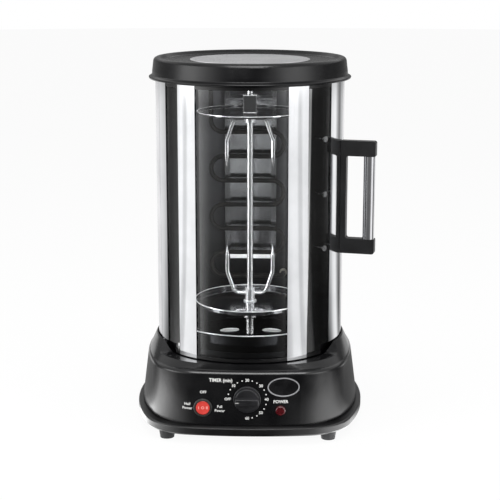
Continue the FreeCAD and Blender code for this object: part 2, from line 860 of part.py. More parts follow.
def make_timer_knob():
    body = new_body("timer_knob")
    first = d.knob_seat + d.knob_gap
    round_pad(body, 0, d.knob_z, d.knob_skirt_radius, first, d.knob_skirt)
    round_edges(body, d.knob_skirt / 4, at_front(first + d.knob_skirt))
    round_pad(body, 0, d.knob_z, d.knob_radius, first + d.knob_skirt, d.knob_height)
    front = first + d.knob_skirt + d.knob_height
    sides = new_sketch(body, shift=front)
    for sign in (1, -1):
        near = d.knob_z + d.knob_ridge_half * sign
        far = d.knob_z + d.knob_skirt_radius * sign
        outline(sides, [(-d.knob_skirt_radius, near), (d.knob_skirt_radius, near),
                        (d.knob_skirt_radius, far), (-d.knob_skirt_radius, far)])
    pocket(body, sides, d.knob_ridge_height)
    round_edges(body, d.knob_ridge_half / 3, at_front(front))
    round_edges(body, d.knob_ridge_half / 4, lambda e: at_front(front - d.knob_ridge_height)(e)
                and e.Curve.TypeId == "Part::GeomCircle")
    round_pad(body, 0, d.knob_z, d.spindle_radius + d.running_gap, first,
              d.spindle_in_knob + d.knob_gap, adds=False)


def make_switch_housing():
    body = new_body("switch_housing")
    x, height = -d.switch_x, d.switch_z
    seat = d.switch_seat
    round_pad(body, x, height, d.switch_bezel_radius, seat, d.switch_bezel)
    round_edges(body, d.switch_bezel / 3, at_front(seat + d.switch_bezel))
    round_pad(body, x, height, d.switch_radius, seat - d.switch_length, d.switch_length)
    floor = d.rocker_centre - d.rocker_half - d.rocker_floor_gap
    round_pad(body, x, height, d.switch_cavity, floor, d.switch_length, adds=False)


def make_power_rocker():
    body = new_body("power_rocker")
    first = d.rocker_centre - d.rocker_half
    round_pad(body, -d.switch_x, d.switch_z, d.rocker_radius, first, 2 * d.rocker_half)
    round_edges(body, d.rocker_half / 4, at_front(first + 2 * d.rocker_half))


def make_power_lamp():
    body = new_body("power_lamp")
    round_pad(body, d.lamp_x, d.lamp_z, d.lamp_radius, d.lamp_seat, d.lamp_height)
    round_edges(body, d.lamp_height * 0.6, at_front(d.lamp_seat + d.lamp_height))
    round_pad(body, d.lamp_x, d.lamp_z, d.lamp_barrel, d.lamp_seat - d.lamp_length, d.lamp_length)


# Tower ---------------------------------------------------------------------------------------


def make_rear_shell():
    body = new_body("rear_shell")
    inner = d.tower_radius - d.shell_wall
    spin(body, [(inner, z.ledge), (d.tower_radius, z.ledge), (d.tower_radius, z.lid), (inner, z.lid)],
         d.shell_start, d.shell_end - d.shell_start)


def heater_height(run):
    return z.ledge + d.heater_first + d.heater_pitch * run


RUNS = 7


def make_inner_liner():
    body = new_body("inner_liner")
    inner = d.liner_radius - d.sheet_wall
    spin(body, [(inner, z.tray), (d.liner_radius, z.tray), (d.liner_radius, z.lid), (inner, z.lid)],
         d.liner_start, d.liner_end - d.liner_start)
    # The element's lower end leaves through the liner.
    sketch = new_sketch(body)
    circle(sketch, d.heater_x + d.heater_half, heater_height(0), d.heater_radius + d.hole_gap)
    pocket(body, sketch, 2 * d.liner_radius, Reversed=False)


def make_reflector():
    body = new_body("reflector")
    foot = z.ledge + d.reflector_foot
    wall, half, face = d.sheet_wall, d.reflector_half, d.reflector_y
    lip = face - d.reflector_flange
    sketch = new_sketch(body, "XY_Plane", shift=foot)
    left, right = d.reflector_x - half, d.reflector_x + half
    outline(sketch, [(left, lip), (left + wall, lip), (left + wall, face), (right - wall, face),
                     (right - wall, lip), (right, lip), (right, face + wall), (left, face + wall)])
    pad(body, sketch, d.reflector_height)
    top = new_sketch(body, "XY_Plane", shift=foot + d.reflector_height - d.reflector_lip)
    box_outline(top, left + wall / 2, lip + wall, right - wall / 2, face + wall / 2)
    pad(body, top, d.reflector_lip)


def make_reflector_posts():
    body = new_body("reflector_posts")
    foot = z.ledge + d.post_foot
    sketch = new_sketch(body, "XY_Plane", shift=foot)
    near, far = d.reflector_half, d.reflector_half + d.post_width
    front, back, wall = d.post_front_y, d.post_front_y + d.post_depth, d.sheet_wall
    for sign in (1, -1):
        profile = [(near, front), (far, front), (far, back), (far - wall, back),
                   (far - wall, front + wall), (near + wall, front + wall), (near + wall, back), (near, back)]
        outline(sketch, [(d.reflector_x + x * sign, y) for x, y in profile])
    pad(body, sketch, z.ceiling - foot)


def make_heating_element():
    body = new_body("heating_element")
    middle, half = d.heater_x, d.heater_half
    bend = d.heater_pitch / 2 - d.heater_bend_gap
    corners = [(d.heater_join, heater_height(0))]
    for run in range(RUNS - 1):
        side = middle - half if run % 2 == 0 else middle + half
        corners.append((side, heater_height(run), bend))
        corners.append((side, heater_height(run + 1), bend))
    corners.append((middle - half, heater_height(RUNS - 1), bend))
    corners.append((middle - half, z.ceiling + d.heater_rise))
    pipe(body, "XZ_Plane", -d.heater_y, corners, "YZ_Plane", d.heater_join,
         (d.heater_y, heater_height(0)), d.heater_radius)
    tail = [(d.heater_join, d.heater_y), (middle + half, d.heater_y, d.heater_tail_bend),
            (middle + half, d.heater_tail_y)]
    pipe(body, "XY_Plane", heater_height(0), tail, "YZ_Plane", d.heater_join,
         (d.heater_y, heater_height(0)), d.heater_radius)


def make_element_brackets():
    body = new_body("element_brackets")
    half = d.bracket_tall / 2
    sketch = new_sketch(body, "YZ_Plane", shift=-d.bracket_thick / 2)
    front = d.heater_y - 2 * d.heater_radius
    for run in (1, RUNS - 2):
        middle = heater_height(run)
        outline(sketch, [(front, middle - half), (d.reflector_y, middle - half),
                         (d.reflector_y, middle + half), (front, middle + half)])
        circle(sketch, d.heater_y, middle, d.heater_radius + d.running_gap)
    pad(body, sketch, d.bracket_thick)


def make_element_terminals():
    body = new_body("element_terminals")
    bore = d.heater_radius + d.running_gap
    # The lower one stands on the chord where its outer edge meets the liner.
    inner = d.liner_radius - d.sheet_wall
    across = d.heater_x + d.heater_half
    edge = across + d.terminal_radius
    square = inner * inner - edge * edge
    reach = Size(math.sqrt(square.value), f"sqrt({square.formula})")
    lower = new_sketch(body, shift=-reach)
    circle(lower, across, heater_height(0), d.terminal_radius)
    circle(lower, across, heater_height(0), bore)
    pad(body, lower, d.terminal_length)
    upper = new_sketch(body, "XY_Plane", shift=z.ceiling + d.ceiling_wall)
    circle(upper, d.heater_x - d.heater_half, d.heater_y, d.terminal_radius)
    circle(upper, d.heater_x - d.heater_half, d.heater_y, bore)
    pad(body, upper, d.terminal_length)


def make_top_plate():
    body = new_body("top_plate")
    hole = d.bearing_barrel + d.running_gap
    top = z.ceiling + d.ceiling_wall
    spin(body, [(hole, z.ceiling), (d.ceiling_radius, z.ceiling), (d.ceiling_radius, top), (hole, top)])
    sketch = new_sketch(body, "XY_Plane", shift=top)
    circle(sketch, d.heater_x - d.heater_half, d.heater_y, d.heater_radius + d.hole_gap)
    pocket(body, sketch, d.ceiling_wall)


def make_top_bearing():
    body = new_body("top_bearing")
    bore = d.rod_radius + d.running_gap
    foot = z.ceiling - d.bearing_flange_height
    roof = z.ceiling + d.bearing_depth
    spin(body, [(bore, foot), (d.bearing_flange, foot), (d.bearing_flange, z.ceiling),
                (d.bearing_barrel, z.ceiling), (d.bearing_barrel, roof + d.ceiling_wall),
                (0, roof + d.ceiling_wall), (0, roof), (bore, roof)])


def hinge_point():
    """Where the door's pivot stands."""
    return d.hinge_radius * sine(d.hinge_bearing_angle), -d.hinge_radius * cosine(d.hinge_bearing_angle)


def make_lid_cover():
    body = new_body("lid_cover")
    plate_top = z.ceiling + d.ceiling_wall
    lip, wall = d.lid_lip_radius, d.lid_wall_radius
    seat = z.lid_top - d.lid_recess - d.lid_disc_seat
    inner = d.lid_rib_radius - d.lid_rib_width
    spin(body, [(inner, plate_top), (d.lid_rib_radius, plate_top), (d.lid_rib_radius, z.lid),
                (lip - 0.8, z.lid, 1.0), (lip, z.lid + d.lid_lip_height / 2, 1.4),
                (wall + 0.4, z.lid + d.lid_lip_height, 1.0), (wall, z.lid + 2 * d.lid_lip_height),
                (wall - 2.2, z.lid_top, d.lid_edge), (d.lid_rim_radius, z.lid_top, d.lid_rim_edge),
                (d.lid_recess_radius, z.lid_top - d.lid_recess, 2 * d.lid_rim_edge),
                (d.lid_disc_radius, z.lid_top - d.lid_recess), (d.lid_disc_radius, seat), (0, seat),
                (0, seat - d.lid_wall), (inner, seat - d.lid_wall)])
    x, y = hinge_point()
    hole = new_sketch(body, "XY_Plane", shift=z.lid)
    circle(hole, x, y, d.pin_radius + d.running_gap)
    pocket(body, hole, d.pin_reach_up - d.door_head_gap + d.pin_end_gap, Reversed=True)


def make_lid_disc():
    body = new_body("lid_disc")
    seat = z.lid_top - d.lid_recess - d.lid_disc_seat
    top = seat + d.lid_disc_height
    radius = d.lid_disc_radius - d.running_gap
    spin(body, [(0, seat), (radius, seat), (radius, top, 0.8), (0, top)])


def make_door_catch():
    body = new_body("door_catch")
    sketch = new_sketch(body, turn=d.catch_angle - 90)
    far = d.stile_outer - d.stile_wall - d.catch_gap
    box_outline(sketch, far - d.catch_depth, z.lid - d.catch_height, far, z.lid)
    pad(body, sketch, d.catch_width, Midplane=True)


def make_lower_hinge_bush():
    body = new_body("lower_hinge_bush")
    x, y = hinge_point()
    sketch = new_sketch(body, "XY_Plane", shift=z.ledge)
    circle(sketch, x, y, d.bush_radius)
    top = z.stile - d.bush_gap
    pad(body, sketch, top - z.ledge)
    hole = new_sketch(body, "XY_Plane", shift=top)
    circle(hole, x, y, d.pin_radius + d.running_gap)
    pocket(body, hole, d.bush_depth)


# Door ----------------------------------------------------------------------------------------


def arc_strip(label, inner, outer, low, high, start, end):
    body = new_body(label)
    spin(body, [(inner, low), (outer, low), (outer, high), (inner, high)], start, end - start)
    return body


def make_door_glass():
    inner = d.glass_outer - d.glass_wall
    low = z.door + d.rail_wall + d.rail_gap
    high = z.door_top - d.rail_wall - d.rail_gap
    body = arc_strip("door_glass", inner, d.glass_outer, low, high, d.glass_start, d.glass_end)
    # Its lower corners are cut back so that they pass over the collar.
    corner = [(inner - 1, low - 1), (d.glass_outer + 1, low - 1),
              (d.glass_outer + 1, z.stile), (inner - 1, z.stile)]
    spin(body, corner, d.glass_start - 1, -d.door_low_span - d.glass_start + 1, cut=True)
    spin(body, corner, d.door_low_span, d.glass_end - d.door_low_span + 1, cut=True)
    for step in range(3):
        hole = new_sketch(body, turn=d.screw_angle)
        circle(hole, 0, d.screw_low_z + d.screw_pitch * step, d.screw_radius + d.hole_gap)
        pocket(body, hole, 2 * d.glass_outer, Reversed=True)


def make_rail(label, low, start, end, up):
    """A channel round one edge of the glass, open upwards or downwards."""
    body = new_body(label)
    inner = d.glass_outer - d.glass_wall
    wall, gap, tall = d.rail_wall, d.rail_gap, d.rail_height
    lips = [(d.glass_outer + gap + wall, tall), (d.glass_outer + gap, tall), (d.glass_outer + gap, wall),
            (inner - gap, wall), (inner - gap, tall), (inner - gap - wall, tall)]
    base = [(inner - gap - wall, 0.0), (d.glass_outer + gap + wall, 0.0)]
    corners = [(radius, low + height if up else low + tall - height) for radius, height in base + lips]
    spin(body, corners, start, end - start)


def make_stile(label, start, end):
    return arc_strip(label, d.stile_outer - d.stile_wall, d.stile_outer, z.stile, z.door_top, start, end)


def make_door_frame():
    make_rail("door_bottom_rail", z.door, -d.door_low_span, d.door_low_span, True)
    make_rail("door_top_rail", z.door_top - d.rail_height, d.glass_start, d.glass_end, False)
    inner = d.glass_outer + d.rail_gap + d.rail_wall + d.trim_gap
    for label, start in (("door_trim_left", d.trim_left_start), ("door_trim_right", d.trim_right_start)):
        arc_strip(label, inner, inner + d.trim_wall, z.door, z.door_top, start, start + d.trim_width_angle)
    make_stile("door_hinge_stile", d.hinge_stile_start, d.glass_start - d.stile_joint_angle)
    stile = make_stile("door_handle_stile", d.glass_end + d.stile_joint_angle, d.handle_stile_end)
    back = d.glass_outer - d.glass_wall - d.flange_gap
    top = z.door_top - d.rail_height - d.rail_wall
    spin(stile, [(back - d.flange_wall, z.stile), (back, z.stile), (back, top), (back - d.flange_wall, top)],
         d.flange_start, d.handle_stile_end - d.flange_start)


def make_door_hinge_pins():
    body = new_body("door_hinge_pins")
    x, y = hinge_point()
    for height, reach, down in ((z.door_top, d.pin_reach_up, False), (z.stile, d.pin_reach_down, True)):
        sketch = new_sketch(body, "XY_Plane", shift=height)
        circle(sketch, x, y, d.pin_radius)
        pad(body, sketch, reach, Reversed=down)


def handle_shift():
    """How far in front of the spit's axis the handle's own plane passes."""
    return d.handle_stand_off * sine(d.handle_direction - d.handle_root)


def handle_start():
    """Where the handle's plane meets the stile, along the handle's direction."""
    return d.handle_stand_off * cosine(d.handle_direction - d.handle_root)


def make_handle_bracket():
    body = new_body("handle_bracket")
    near = handle_start() - d.handle_width / 2
    spine = handle_start() + d.handle_spine
    tip = handle_start() + d.handle_reach
    low, high, arm = d.handle_low_z, d.handle_high_z, d.handle_arm
    sketch = new_sketch(body, turn=d.handle_direction - 90, shift=handle_shift())
    outline(sketch, [(near, low), (tip, low, 3.0), (tip, low + arm, 1.5), (spine, low + arm, 3.0),
                     (spine, high - arm, 3.0), (tip, high - arm, 1.5), (tip, high, 3.0), (near, high)])
    pad(body, sketch, d.handle_width, Midplane=True)
    # Its back is hollowed to lie on the round stile.
    spin(body, [(near / 2, low - 1), (d.handle_stand_off, low - 1), (d.handle_stand_off, high + 1),
                (near / 2, high + 1)], d.handle_root - 20, 40.0, cut=True)


def make_handle_grip():
    body = new_body("handle_grip")
    out = handle_start() + d.handle_reach - d.grip_inset
    aside = handle_shift()
    x = out * sine(d.handle_direction) - aside * cosine(d.handle_direction)
    y = -out * cosine(d.handle_direction) - aside * sine(d.handle_direction)
    foot = d.handle_low_z + d.handle_arm
    sketch = new_sketch(body, "XY_Plane", shift=foot)
    circle(sketch, x, y, d.grip_radius)
    circle(sketch, x, y, d.grip_radius - d.grip_wall)
    pad(body, sketch, d.handle_high_z - d.handle_arm - foot)


def make_handle_screws():
    body = new_body("handle_screws")
    back = d.glass_outer - d.glass_wall - d.flange_gap
    for step in range(3):
        height = d.screw_low_z + d.screw_pitch * step
        # Each screw is a shank through the glass under a flat head, along its own radius.
        for radius, first, last in ((d.screw_radius, back, d.glass_outer),
                                    (d.screw_radius * 1.5, d.glass_outer, d.glass_outer + d.screw_head)):
            sketch = new_sketch(body, turn=d.screw_angle, shift=first)
            circle(sketch, 0, height, radius)
            pad(body, sketch, last - first)


# Pan, drive and spit -------------------------------------------------------------------------


def make_drip_pan():
    body = new_body("drip_pan")
    wall = d.sheet_wall
    top = z.pan + d.pan_height
    side = d.pan_radius - d.pan_rim
    floor_radius = side - d.pan_taper
    hole = d.pan_hole
    spin(body, [(hole, z.pan), (floor_radius, z.pan, 4.0), (side, top - wall), (d.pan_radius, top - wall),
                (d.pan_radius, top), (side - wall, top), (floor_radius - wall, z.pan + wall, 4.0 - wall),
                (hole + wall, z.pan + wall), (hole + wall, z.pan + d.pan_chimney),
                (hole, z.pan + d.pan_chimney)])


def make_drive_shaft():
    body = new_body("drive_shaft")
    foot = z.bracket - d.bracket_wall - d.drive_insert
    flange = z.flange - d.drive_flange_height
    dog = d.rod_radius - d.running_gap
    spin(body, [(0, foot), (d.drive_radius, foot), (d.drive_radius, flange - d.drive_cone),
                (d.drive_flange_radius, flange), (d.drive_flange_radius, z.flange), (dog, z.flange),
                (dog, z.flange + d.dog_height), (0, z.flange + d.dog_height)])


def make_spit_socket():
    body = new_body("spit_socket")
    foot = z.flange + d.socket_gap
    roof = z.flange + d.dog_height + d.socket_gap
    spin(body, [(d.rod_radius, foot), (d.socket_radius, foot), (d.socket_radius, z.disc), (0, z.disc),
                (0, roof), (d.rod_radius, roof)])


def make_skewer_disc(label, foot, radius, tall):
    body = new_body(label)
    bore = d.rod_radius + d.running_gap
    wall, rim = d.disc_wall, d.disc_rim_width
    spin(body, [(bore, foot), (radius, foot, 1.2), (radius, foot + tall, 0.8),
                (radius - rim, foot + tall, 0.8), (radius - rim, foot + wall, 0.6), (bore, foot + wall)])
    sketch = new_sketch(body, "XY_Plane", shift=foot + wall)
    circle(sketch, d.skewer_circle, 0, d.skewer_hole)
    pattern_round(body, pocket(body, sketch, wall), d.skewer_count)


def make_spit_rod():
    body = new_body("spit_rod")
    spin(body, [(0, z.disc), (d.rod_radius, z.disc), (d.rod_radius, z.rod_top, 1.0), (0, z.rod_top)])


def make_hub_washer():
    body = new_body("hub_washer")
    foot = z.disc + d.disc_wall
    top = foot + d.washer_height
    bore = d.rod_radius + d.running_gap
    spin(body, [(bore, foot), (d.washer_radius, foot), (d.washer_radius, top, 0.6), (bore, top)])


def make_fork(label, bar, up, hub_low, hub_high):
    """A bent wire with two pointed tines and a hub that slides on the rod."""
    body = new_body(label)
    sign = 1 if up else -1
    shoulder = bar + d.fork_shoulder * sign
    tine = shoulder + d.fork_tine * sign
    tip = tine + d.fork_tip * sign
    half, bar_half, bend = d.fork_half, d.fork_bar_half, d.fork_bend
    pipe(body, "XZ_Plane", 0.0,
         [(-half, tine), (-half, shoulder, bend), (-bar_half, bar, bend), (bar_half, bar, bend),
          (half, shoulder, bend), (half, tine)],
         "XY_Plane", tine, (-half, 0.0), d.fork_wire)
    for side in (-1, 1):
        sections = []
        for height, radius in ((tine, d.fork_wire), (tip, d.fork_wire / 8)):
            sketch = new_sketch(body, "XY_Plane", shift=height)
            circle(sketch, half * side, 0, radius)
            sections.append(sketch)
        doc.recompute()
        grow(body, "AdditiveLoft", sections[0], True, Sections=sections[1:])
    spin(body, [(0, hub_low), (d.fork_hub, hub_low), (d.fork_hub, hub_high), (0, hub_high)])
    bore = new_sketch(body, "XY_Plane", shift=hub_high)
    circle(bore, 0, 0, d.rod_radius + d.running_gap)
    pocket(body, bore, hub_high - hub_low)


def make_forks():
    seat = z.disc + d.disc_wall + d.washer_height
    bar = z.disc + d.lower_fork_rise
    make_fork("lower_fork", bar, True, seat, bar + d.fork_hub_height / 2)
    bar = z.upper_disc - d.upper_bar_drop
    make_fork("upper_fork", bar, False, bar - d.fork_hub_height / 2, z.upper_disc)


def make_fork_collar():
    body = new_body("fork_collar")
    foot = z.upper_disc + d.disc_wall
    half = d.collar_half
    sketch = new_sketch(body, "XY_Plane", shift=foot)
    box_outline(sketch, -half, -half, half, half)
    circle(sketch, 0, 0, d.rod_radius + d.running_gap)
    pad(body, sketch, d.collar_height)
    round_edges(body, 0.8, lambda e: abs(e.BoundBox.XLength) + abs(e.BoundBox.YLength) < 0.01
                and math.hypot(e.BoundBox.XMin, e.BoundBox.YMin) > half.value)


def make_collar_screw():
    body = new_body("collar_screw")
    height = z.upper_disc + d.disc_wall + d.collar_height / 2
    sketch = new_sketch(body, "YZ_Plane", shift=-d.collar_half - d.set_screw_head)
    circle(sketch, 0, height, d.set_screw_radius)
    pad(body, sketch, d.set_screw_head)


# Build ---------------------------------------------------------------------------------------


def build():
    make_base_feet()
    make_base_screws()
    make_base_plate()
    make_base_housing()
    make_cord_bushing()
    make_chamber_floor()
    make_motor_bracket()
    make_gear_motor()
    make_terminal_block()
    make_thermal_cutout()
    make_timer_body()
    make_timer_spindle()
    make_timer_knob()
    make_switch_housing()
    make_power_rocker()
    make_power_lamp()
    make_rear_shell()
    make_inner_liner()
    make_reflector()
    make_reflector_posts()
    make_heating_element()
    make_element_brackets()
    make_element_terminals()
    make_top_plate()
    make_top_bearing()
    make_lid_cover()
    make_lid_disc()
    make_door_catch()
    make_lower_hinge_bush()
    make_door_glass()
    make_door_frame()
    make_door_hinge_pins()
    make_handle_bracket()
    make_handle_grip()
    make_handle_screws()
    make_drip_pan()
    make_drive_shaft()
    make_spit_socket()
    make_skewer_disc("lower_disc", z.disc, d.lower_disc_radius, d.lower_disc_rim)
    make_skewer_disc("upper_disc", z.upper_disc, d.upper_disc_radius, d.upper_disc_rim)
    make_spit_rod()
    make_hub_washer()
    make_forks()
    make_fork_collar()
    make_collar_screw()


def export():
    """Check every object, then write each sub-part to its own file."""
    doc.recompute()
    for thing in doc.Objects:
        if "Invalid" in thing.State or "Error" in thing.State:
            raise RuntimeError(f"{thing.Name} failed: {thing.State}")
    os.makedirs("parts", exist_ok=True)
    bodies = [thing for thing in doc.Objects if thing.TypeId == "PartDesign::Body"]
    for body in bodies:
        shape = body.Shape
        if shape.isNull() or not shape.isValid() or not shape.Solids:
            raise RuntimeError(f"{body.Label} has no valid solid")
        shape.exportStep(f"parts/{body.Label}.step")
    print(f"{len(bodies)} sub-parts written")


build()
export()
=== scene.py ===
"""Finishes, printing, small parts, light and camera for an upright electric skewer grill.

It is laid out as an add-on and is run as a script. Every length is in metres, in the frame of
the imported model: +Z up, -Y to the front with the controls, +X to the side with the handle.
"""

import math

import bmesh
import bpy
from mathutils import Matrix, Vector
from mathutils.bvhtree import BVHTree


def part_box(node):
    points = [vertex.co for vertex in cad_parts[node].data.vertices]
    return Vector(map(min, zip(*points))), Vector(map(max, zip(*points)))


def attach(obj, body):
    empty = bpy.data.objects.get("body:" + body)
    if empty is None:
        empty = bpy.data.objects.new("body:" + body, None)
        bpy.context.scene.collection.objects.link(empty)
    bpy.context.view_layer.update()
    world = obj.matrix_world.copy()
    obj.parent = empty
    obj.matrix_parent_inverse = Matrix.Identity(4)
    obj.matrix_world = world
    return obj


bl_info = {
    "name": "Skewer grill",
    "version": (1, 0, 0),
    "blender": (4, 5, 0),
    "location": "3D View > Sidebar > Grill",
    "description": "Finishes and small parts of an upright electric skewer grill",
    "category": "Object",
}

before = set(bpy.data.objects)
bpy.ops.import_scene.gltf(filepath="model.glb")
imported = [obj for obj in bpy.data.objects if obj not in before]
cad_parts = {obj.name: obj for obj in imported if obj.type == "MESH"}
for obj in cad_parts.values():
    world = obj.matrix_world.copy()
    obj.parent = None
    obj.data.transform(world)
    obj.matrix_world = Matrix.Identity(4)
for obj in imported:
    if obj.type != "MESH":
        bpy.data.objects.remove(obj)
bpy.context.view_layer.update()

MM = 0.001
TOWER_X = -6.5 * MM  # the axis of the tower, the spit and the pan; its y is 0
UPRIGHT = Matrix.Rotation(math.radians(90), 4, "X")  # stands a flat shape up, to face -Y
AHEAD = -0.3  # a y in front of the whole grill
CAPITALS = 0.7  # height of the font's capitals, as a share of its size
INK_PROUD = 0.2  # how far a print is moved out of its surface, as a share of its thickness
NOISE_SPAN = (0.3, 0.7)  # the values between which nearly all of a noise lies
WHITE = (1, 1, 1, 1)  # linear RGBA


def middle(node):
    """The middle of a node's box."""
    low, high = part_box(node)
    return (low + high) / 2


# Colours and nodes ---------------------------------------------------------------------------


def linear(value):
    """A linear RGBA colour from an sRGB hex string."""
    channels = [int(value[i:i + 2], 16) / 255 for i in (1, 3, 5)]
    return [c / 12.92 if c <= 0.04045 else ((c + 0.055) / 1.055) ** 2.4 for c in channels] + [1.0]


def grey(level):
    """A linear grey RGBA colour of one level."""
    return (level, level, level, 1)


def put(tree, kind, links=None, stops=(), **settings):
    """A new node of one kind with its settings and a ramp's stops, its sockets linked or set."""
    node = tree.nodes.new(kind)
    for name, value in settings.items():
        setattr(node, name, value)
    for socket, value in (links or {}).items():
        if isinstance(value, bpy.types.NodeSocket):
            tree.links.new(value, node.inputs[socket])
        else:
            node.inputs[socket].default_value = value
    if stops:
        ramp = node.color_ramp.elements
        while len(ramp) < len(stops):
            ramp.new(0.5)
        for stop, (position, colour) in zip(ramp, stops):
            stop.position = position
            stop.color = colour
    return node


def start(name):
    """A material with an empty tree, and the object's own coordinates."""
    material = bpy.data.materials.new(name)
    material.use_nodes = True
    tree = material.node_tree
    tree.nodes.clear()
    return material, tree, put(tree, "ShaderNodeTexCoord").outputs["Object"]


def pattern(tree, place, across, along=None, detail=3.0, turn=(0, 0, 0)):
    """Noise with a grain of one size across, and another along Z, both in metres."""
    scale = (1 / across, 1 / across, 1 / (along or across))
    mapped = put(tree, "ShaderNodeMapping", {"Vector": place, "Rotation": turn, "Scale": scale})
    noise = put(tree, "ShaderNodeTexNoise",
                {"Vector": mapped.outputs[0], "Scale": 1.0, "Detail": detail})
    return noise.outputs["Fac"]


def coat(tree, tint, gloss, relief=None, fixed=None):
    """Ends a tree in a shader whose colour, roughness and height each follow a pattern.

    tint is a pattern, a dark and a light hex colour and, where it isn't a noise, the two values
    at which they are reached. gloss is a pattern and two roughnesses, relief is a pattern and its
    depth in metres, and fixed holds the sockets that are the same all over.
    """
    shade, dark, light, *reached = tint
    first, last = reached or NOISE_SPAN
    ramp = put(tree, "ShaderNodeValToRGB", {"Fac": shade},
               ((first, linear(dark)), (last, linear(light))))
    rough = put(tree, "ShaderNodeMapRange",
                {"Value": gloss[0], "From Min": NOISE_SPAN[0], "From Max": NOISE_SPAN[1],
                 "To Min": gloss[1], "To Max": gloss[2]})
    sockets = {"Base Color": ramp.outputs[0], "Roughness": rough.outputs[0], **(fixed or {})}
    if relief:
        bump = put(tree, "ShaderNodeBump", {"Height": relief[0], "Distance": relief[1]})
        sockets["Normal"] = bump.outputs[0]
    shader = put(tree, "ShaderNodeBsdfPrincipled", sockets)
    put(tree, "ShaderNodeOutputMaterial", {"Surface": shader.outputs[0]})


def seen_ray(tree):
    """1 for a ray from the camera, and for one that polish or glass sends on, and else 0."""
    path = put(tree, "ShaderNodeLightPath").outputs
    direct = put(tree, "ShaderNodeMath",
                 {0: path["Is Camera Ray"], 1: path["Is Glossy Ray"]}, operation="MAXIMUM")
    passed = put(tree, "ShaderNodeMath",
                 {0: direct.outputs[0], 1: path["Is Transmission Ray"]}, operation="MAXIMUM")
    return passed.outputs[0]


# Finishes ------------------------------------------------------------------------------------


def moulded_black(name, dark, light, rough, grain, depth, shine=0.5):
    """Injection-moulded plastic or enamel: a faint eroded grain and cloudy gloss on near-black.

    The grain is a few times as coarse as a real one, so that it shows at all.
    """
    material, tree, place = start(name)
    cloud = pattern(tree, place, 30 * MM, detail=4)
    skin = pattern(tree, place, grain, detail=2)
    coat(tree, (cloud, dark, light), (cloud, rough - 0.04, rough + 0.05), (skin, depth),
         {"IOR": 1.54, "Specular IOR Level": shine})
    return material


def rolled_steel(name, dark, light, rough, across, along, depth, turn=(0, 0, 0), spread=0.08):
    """Steel sheet, tube or wire: long fine lines from rolling or brushing, over slow stains.

    Real lines are under a tenth of a millimetre apart. These are wider, so that they show.
    """
    material, tree, place = start(name)
    lines = pattern(tree, place, across, along, detail=2, turn=turn)
    stain = pattern(tree, place, 45 * MM)
    coat(tree, (stain, dark, light), (lines, rough - spread / 2, rough + spread / 2),
         (lines, depth), {"Metallic": 1.0})
    return material


def shaded_chamber_steel():
    """Chamber sheet: rolled stainless steel with painted shade that darkens it towards the drip
    pan.
    """
    material, tree, place = start("stainless sheet with painted shade")
    lines = pattern(tree, place, 1.6 * MM, 120 * MM, detail=2)
    shade_wander = pattern(tree, place, 40 * MM, detail=4)
    height = put(tree, "ShaderNodeSeparateXYZ", {0: place}).outputs["Z"]
    # The painted shade fades from one height to the other, and its edge wanders by 25 mm.
    level = put(tree, "ShaderNodeMath", {0: shade_wander, 1: 25 * MM, 2: height}, operation="MULTIPLY_ADD")
    coat(tree, (level.outputs[0], "#2a2a2c", "#8c8c90", 185 * MM, 335 * MM), (lines, 0.32, 0.4),
         (lines, 0.004 * MM), {"Metallic": 1.0})
    return material


def spun_steel():
    """A disc that was polished as it turned: fine rings, 0.5 mm wide, about its axis."""
    material, tree, place = start("polished pressed disc")
    centred = put(tree, "ShaderNodeMapping",
                  {"Vector": place, "Location": (-TOWER_X, 0, 0), "Scale": (1, 1, 0)})
    radius = put(tree, "ShaderNodeVectorMath", {0: centred.outputs[0]}, operation="LENGTH")
    ring = put(tree, "ShaderNodeMath", {0: radius.outputs["Value"], 1: 1 / (0.5 * MM)},
               operation="MULTIPLY")
    rings = put(tree, "ShaderNodeTexNoise", {"W": ring.outputs[0], "Scale": 1.0, "Detail": 3.0},
                noise_dimensions="1D").outputs["Fac"]
    stain = pattern(tree, place, 30 * MM)
    coat(tree, (stain, "#b2b2b5", "#cfcfd2"), (rings, 0.07, 0.15), (rings, 0.001 * MM),
         {"Metallic": 1.0})
    return material


def oven_glass():
    """Clear tempered glass: it mirrors most at a slant, and wipe marks change only its gloss."""
    material, tree, place = start("clear tempered glass")
    wipe = pattern(tree, place, 60 * MM, 25 * MM, detail=5)
    rough = put(tree, "ShaderNodeMapRange",
                {"Value": wipe, "From Min": NOISE_SPAN[0], "From Max": NOISE_SPAN[1],
                 "To Min": 0.0, "To Max": 0.03})
    slant = put(tree, "ShaderNodeFresnel", {"IOR": 1.5})
    through = put(tree, "ShaderNodeBsdfTransparent", {"Color": linear("#f6f7f7")})
    gloss = put(tree, "ShaderNodeBsdfGlossy",
                {"Color": linear("#ffffff"), "Roughness": rough.outputs[0]})
    mixed = put(tree, "ShaderNodeMixShader",
                {0: slant.outputs[0], 1: through.outputs[0], 2: gloss.outputs[0]})
    put(tree, "ShaderNodeOutputMaterial", {"Surface": mixed.outputs[0]})
    return material


def clear_plastic(name, colour, cloudy, glow, rough):
    """Polycarbonate coloured in the mass, glossy, and lit from behind by a small neon lamp."""
    material, tree, place = start(name)
    cloud = pattern(tree, place, 4 * MM)
    coat(tree, (cloud, colour, cloudy), (cloud, rough, rough + 0.08), fixed={
        "IOR": 1.58, "Coat Weight": 0.6, "Coat Roughness": 0.05,
        "Emission Color": linear(colour), "Emission Strength": glow})
    return material


def burnt_sheath():
    """Heater tube of nickel-iron alloy: a matte oxide skin, brown to black in patches."""
    material, tree, place = start("oxidised heater tube")
    patch = pattern(tree, place, 22 * MM, detail=5)
    scale = pattern(tree, place, 0.7 * MM, detail=4)
    coat(tree, (patch, "#100f0f", "#2a2522"), (scale, 0.42, 0.62), (scale, 0.06 * MM),
         {"Metallic": 0.35})
    return material


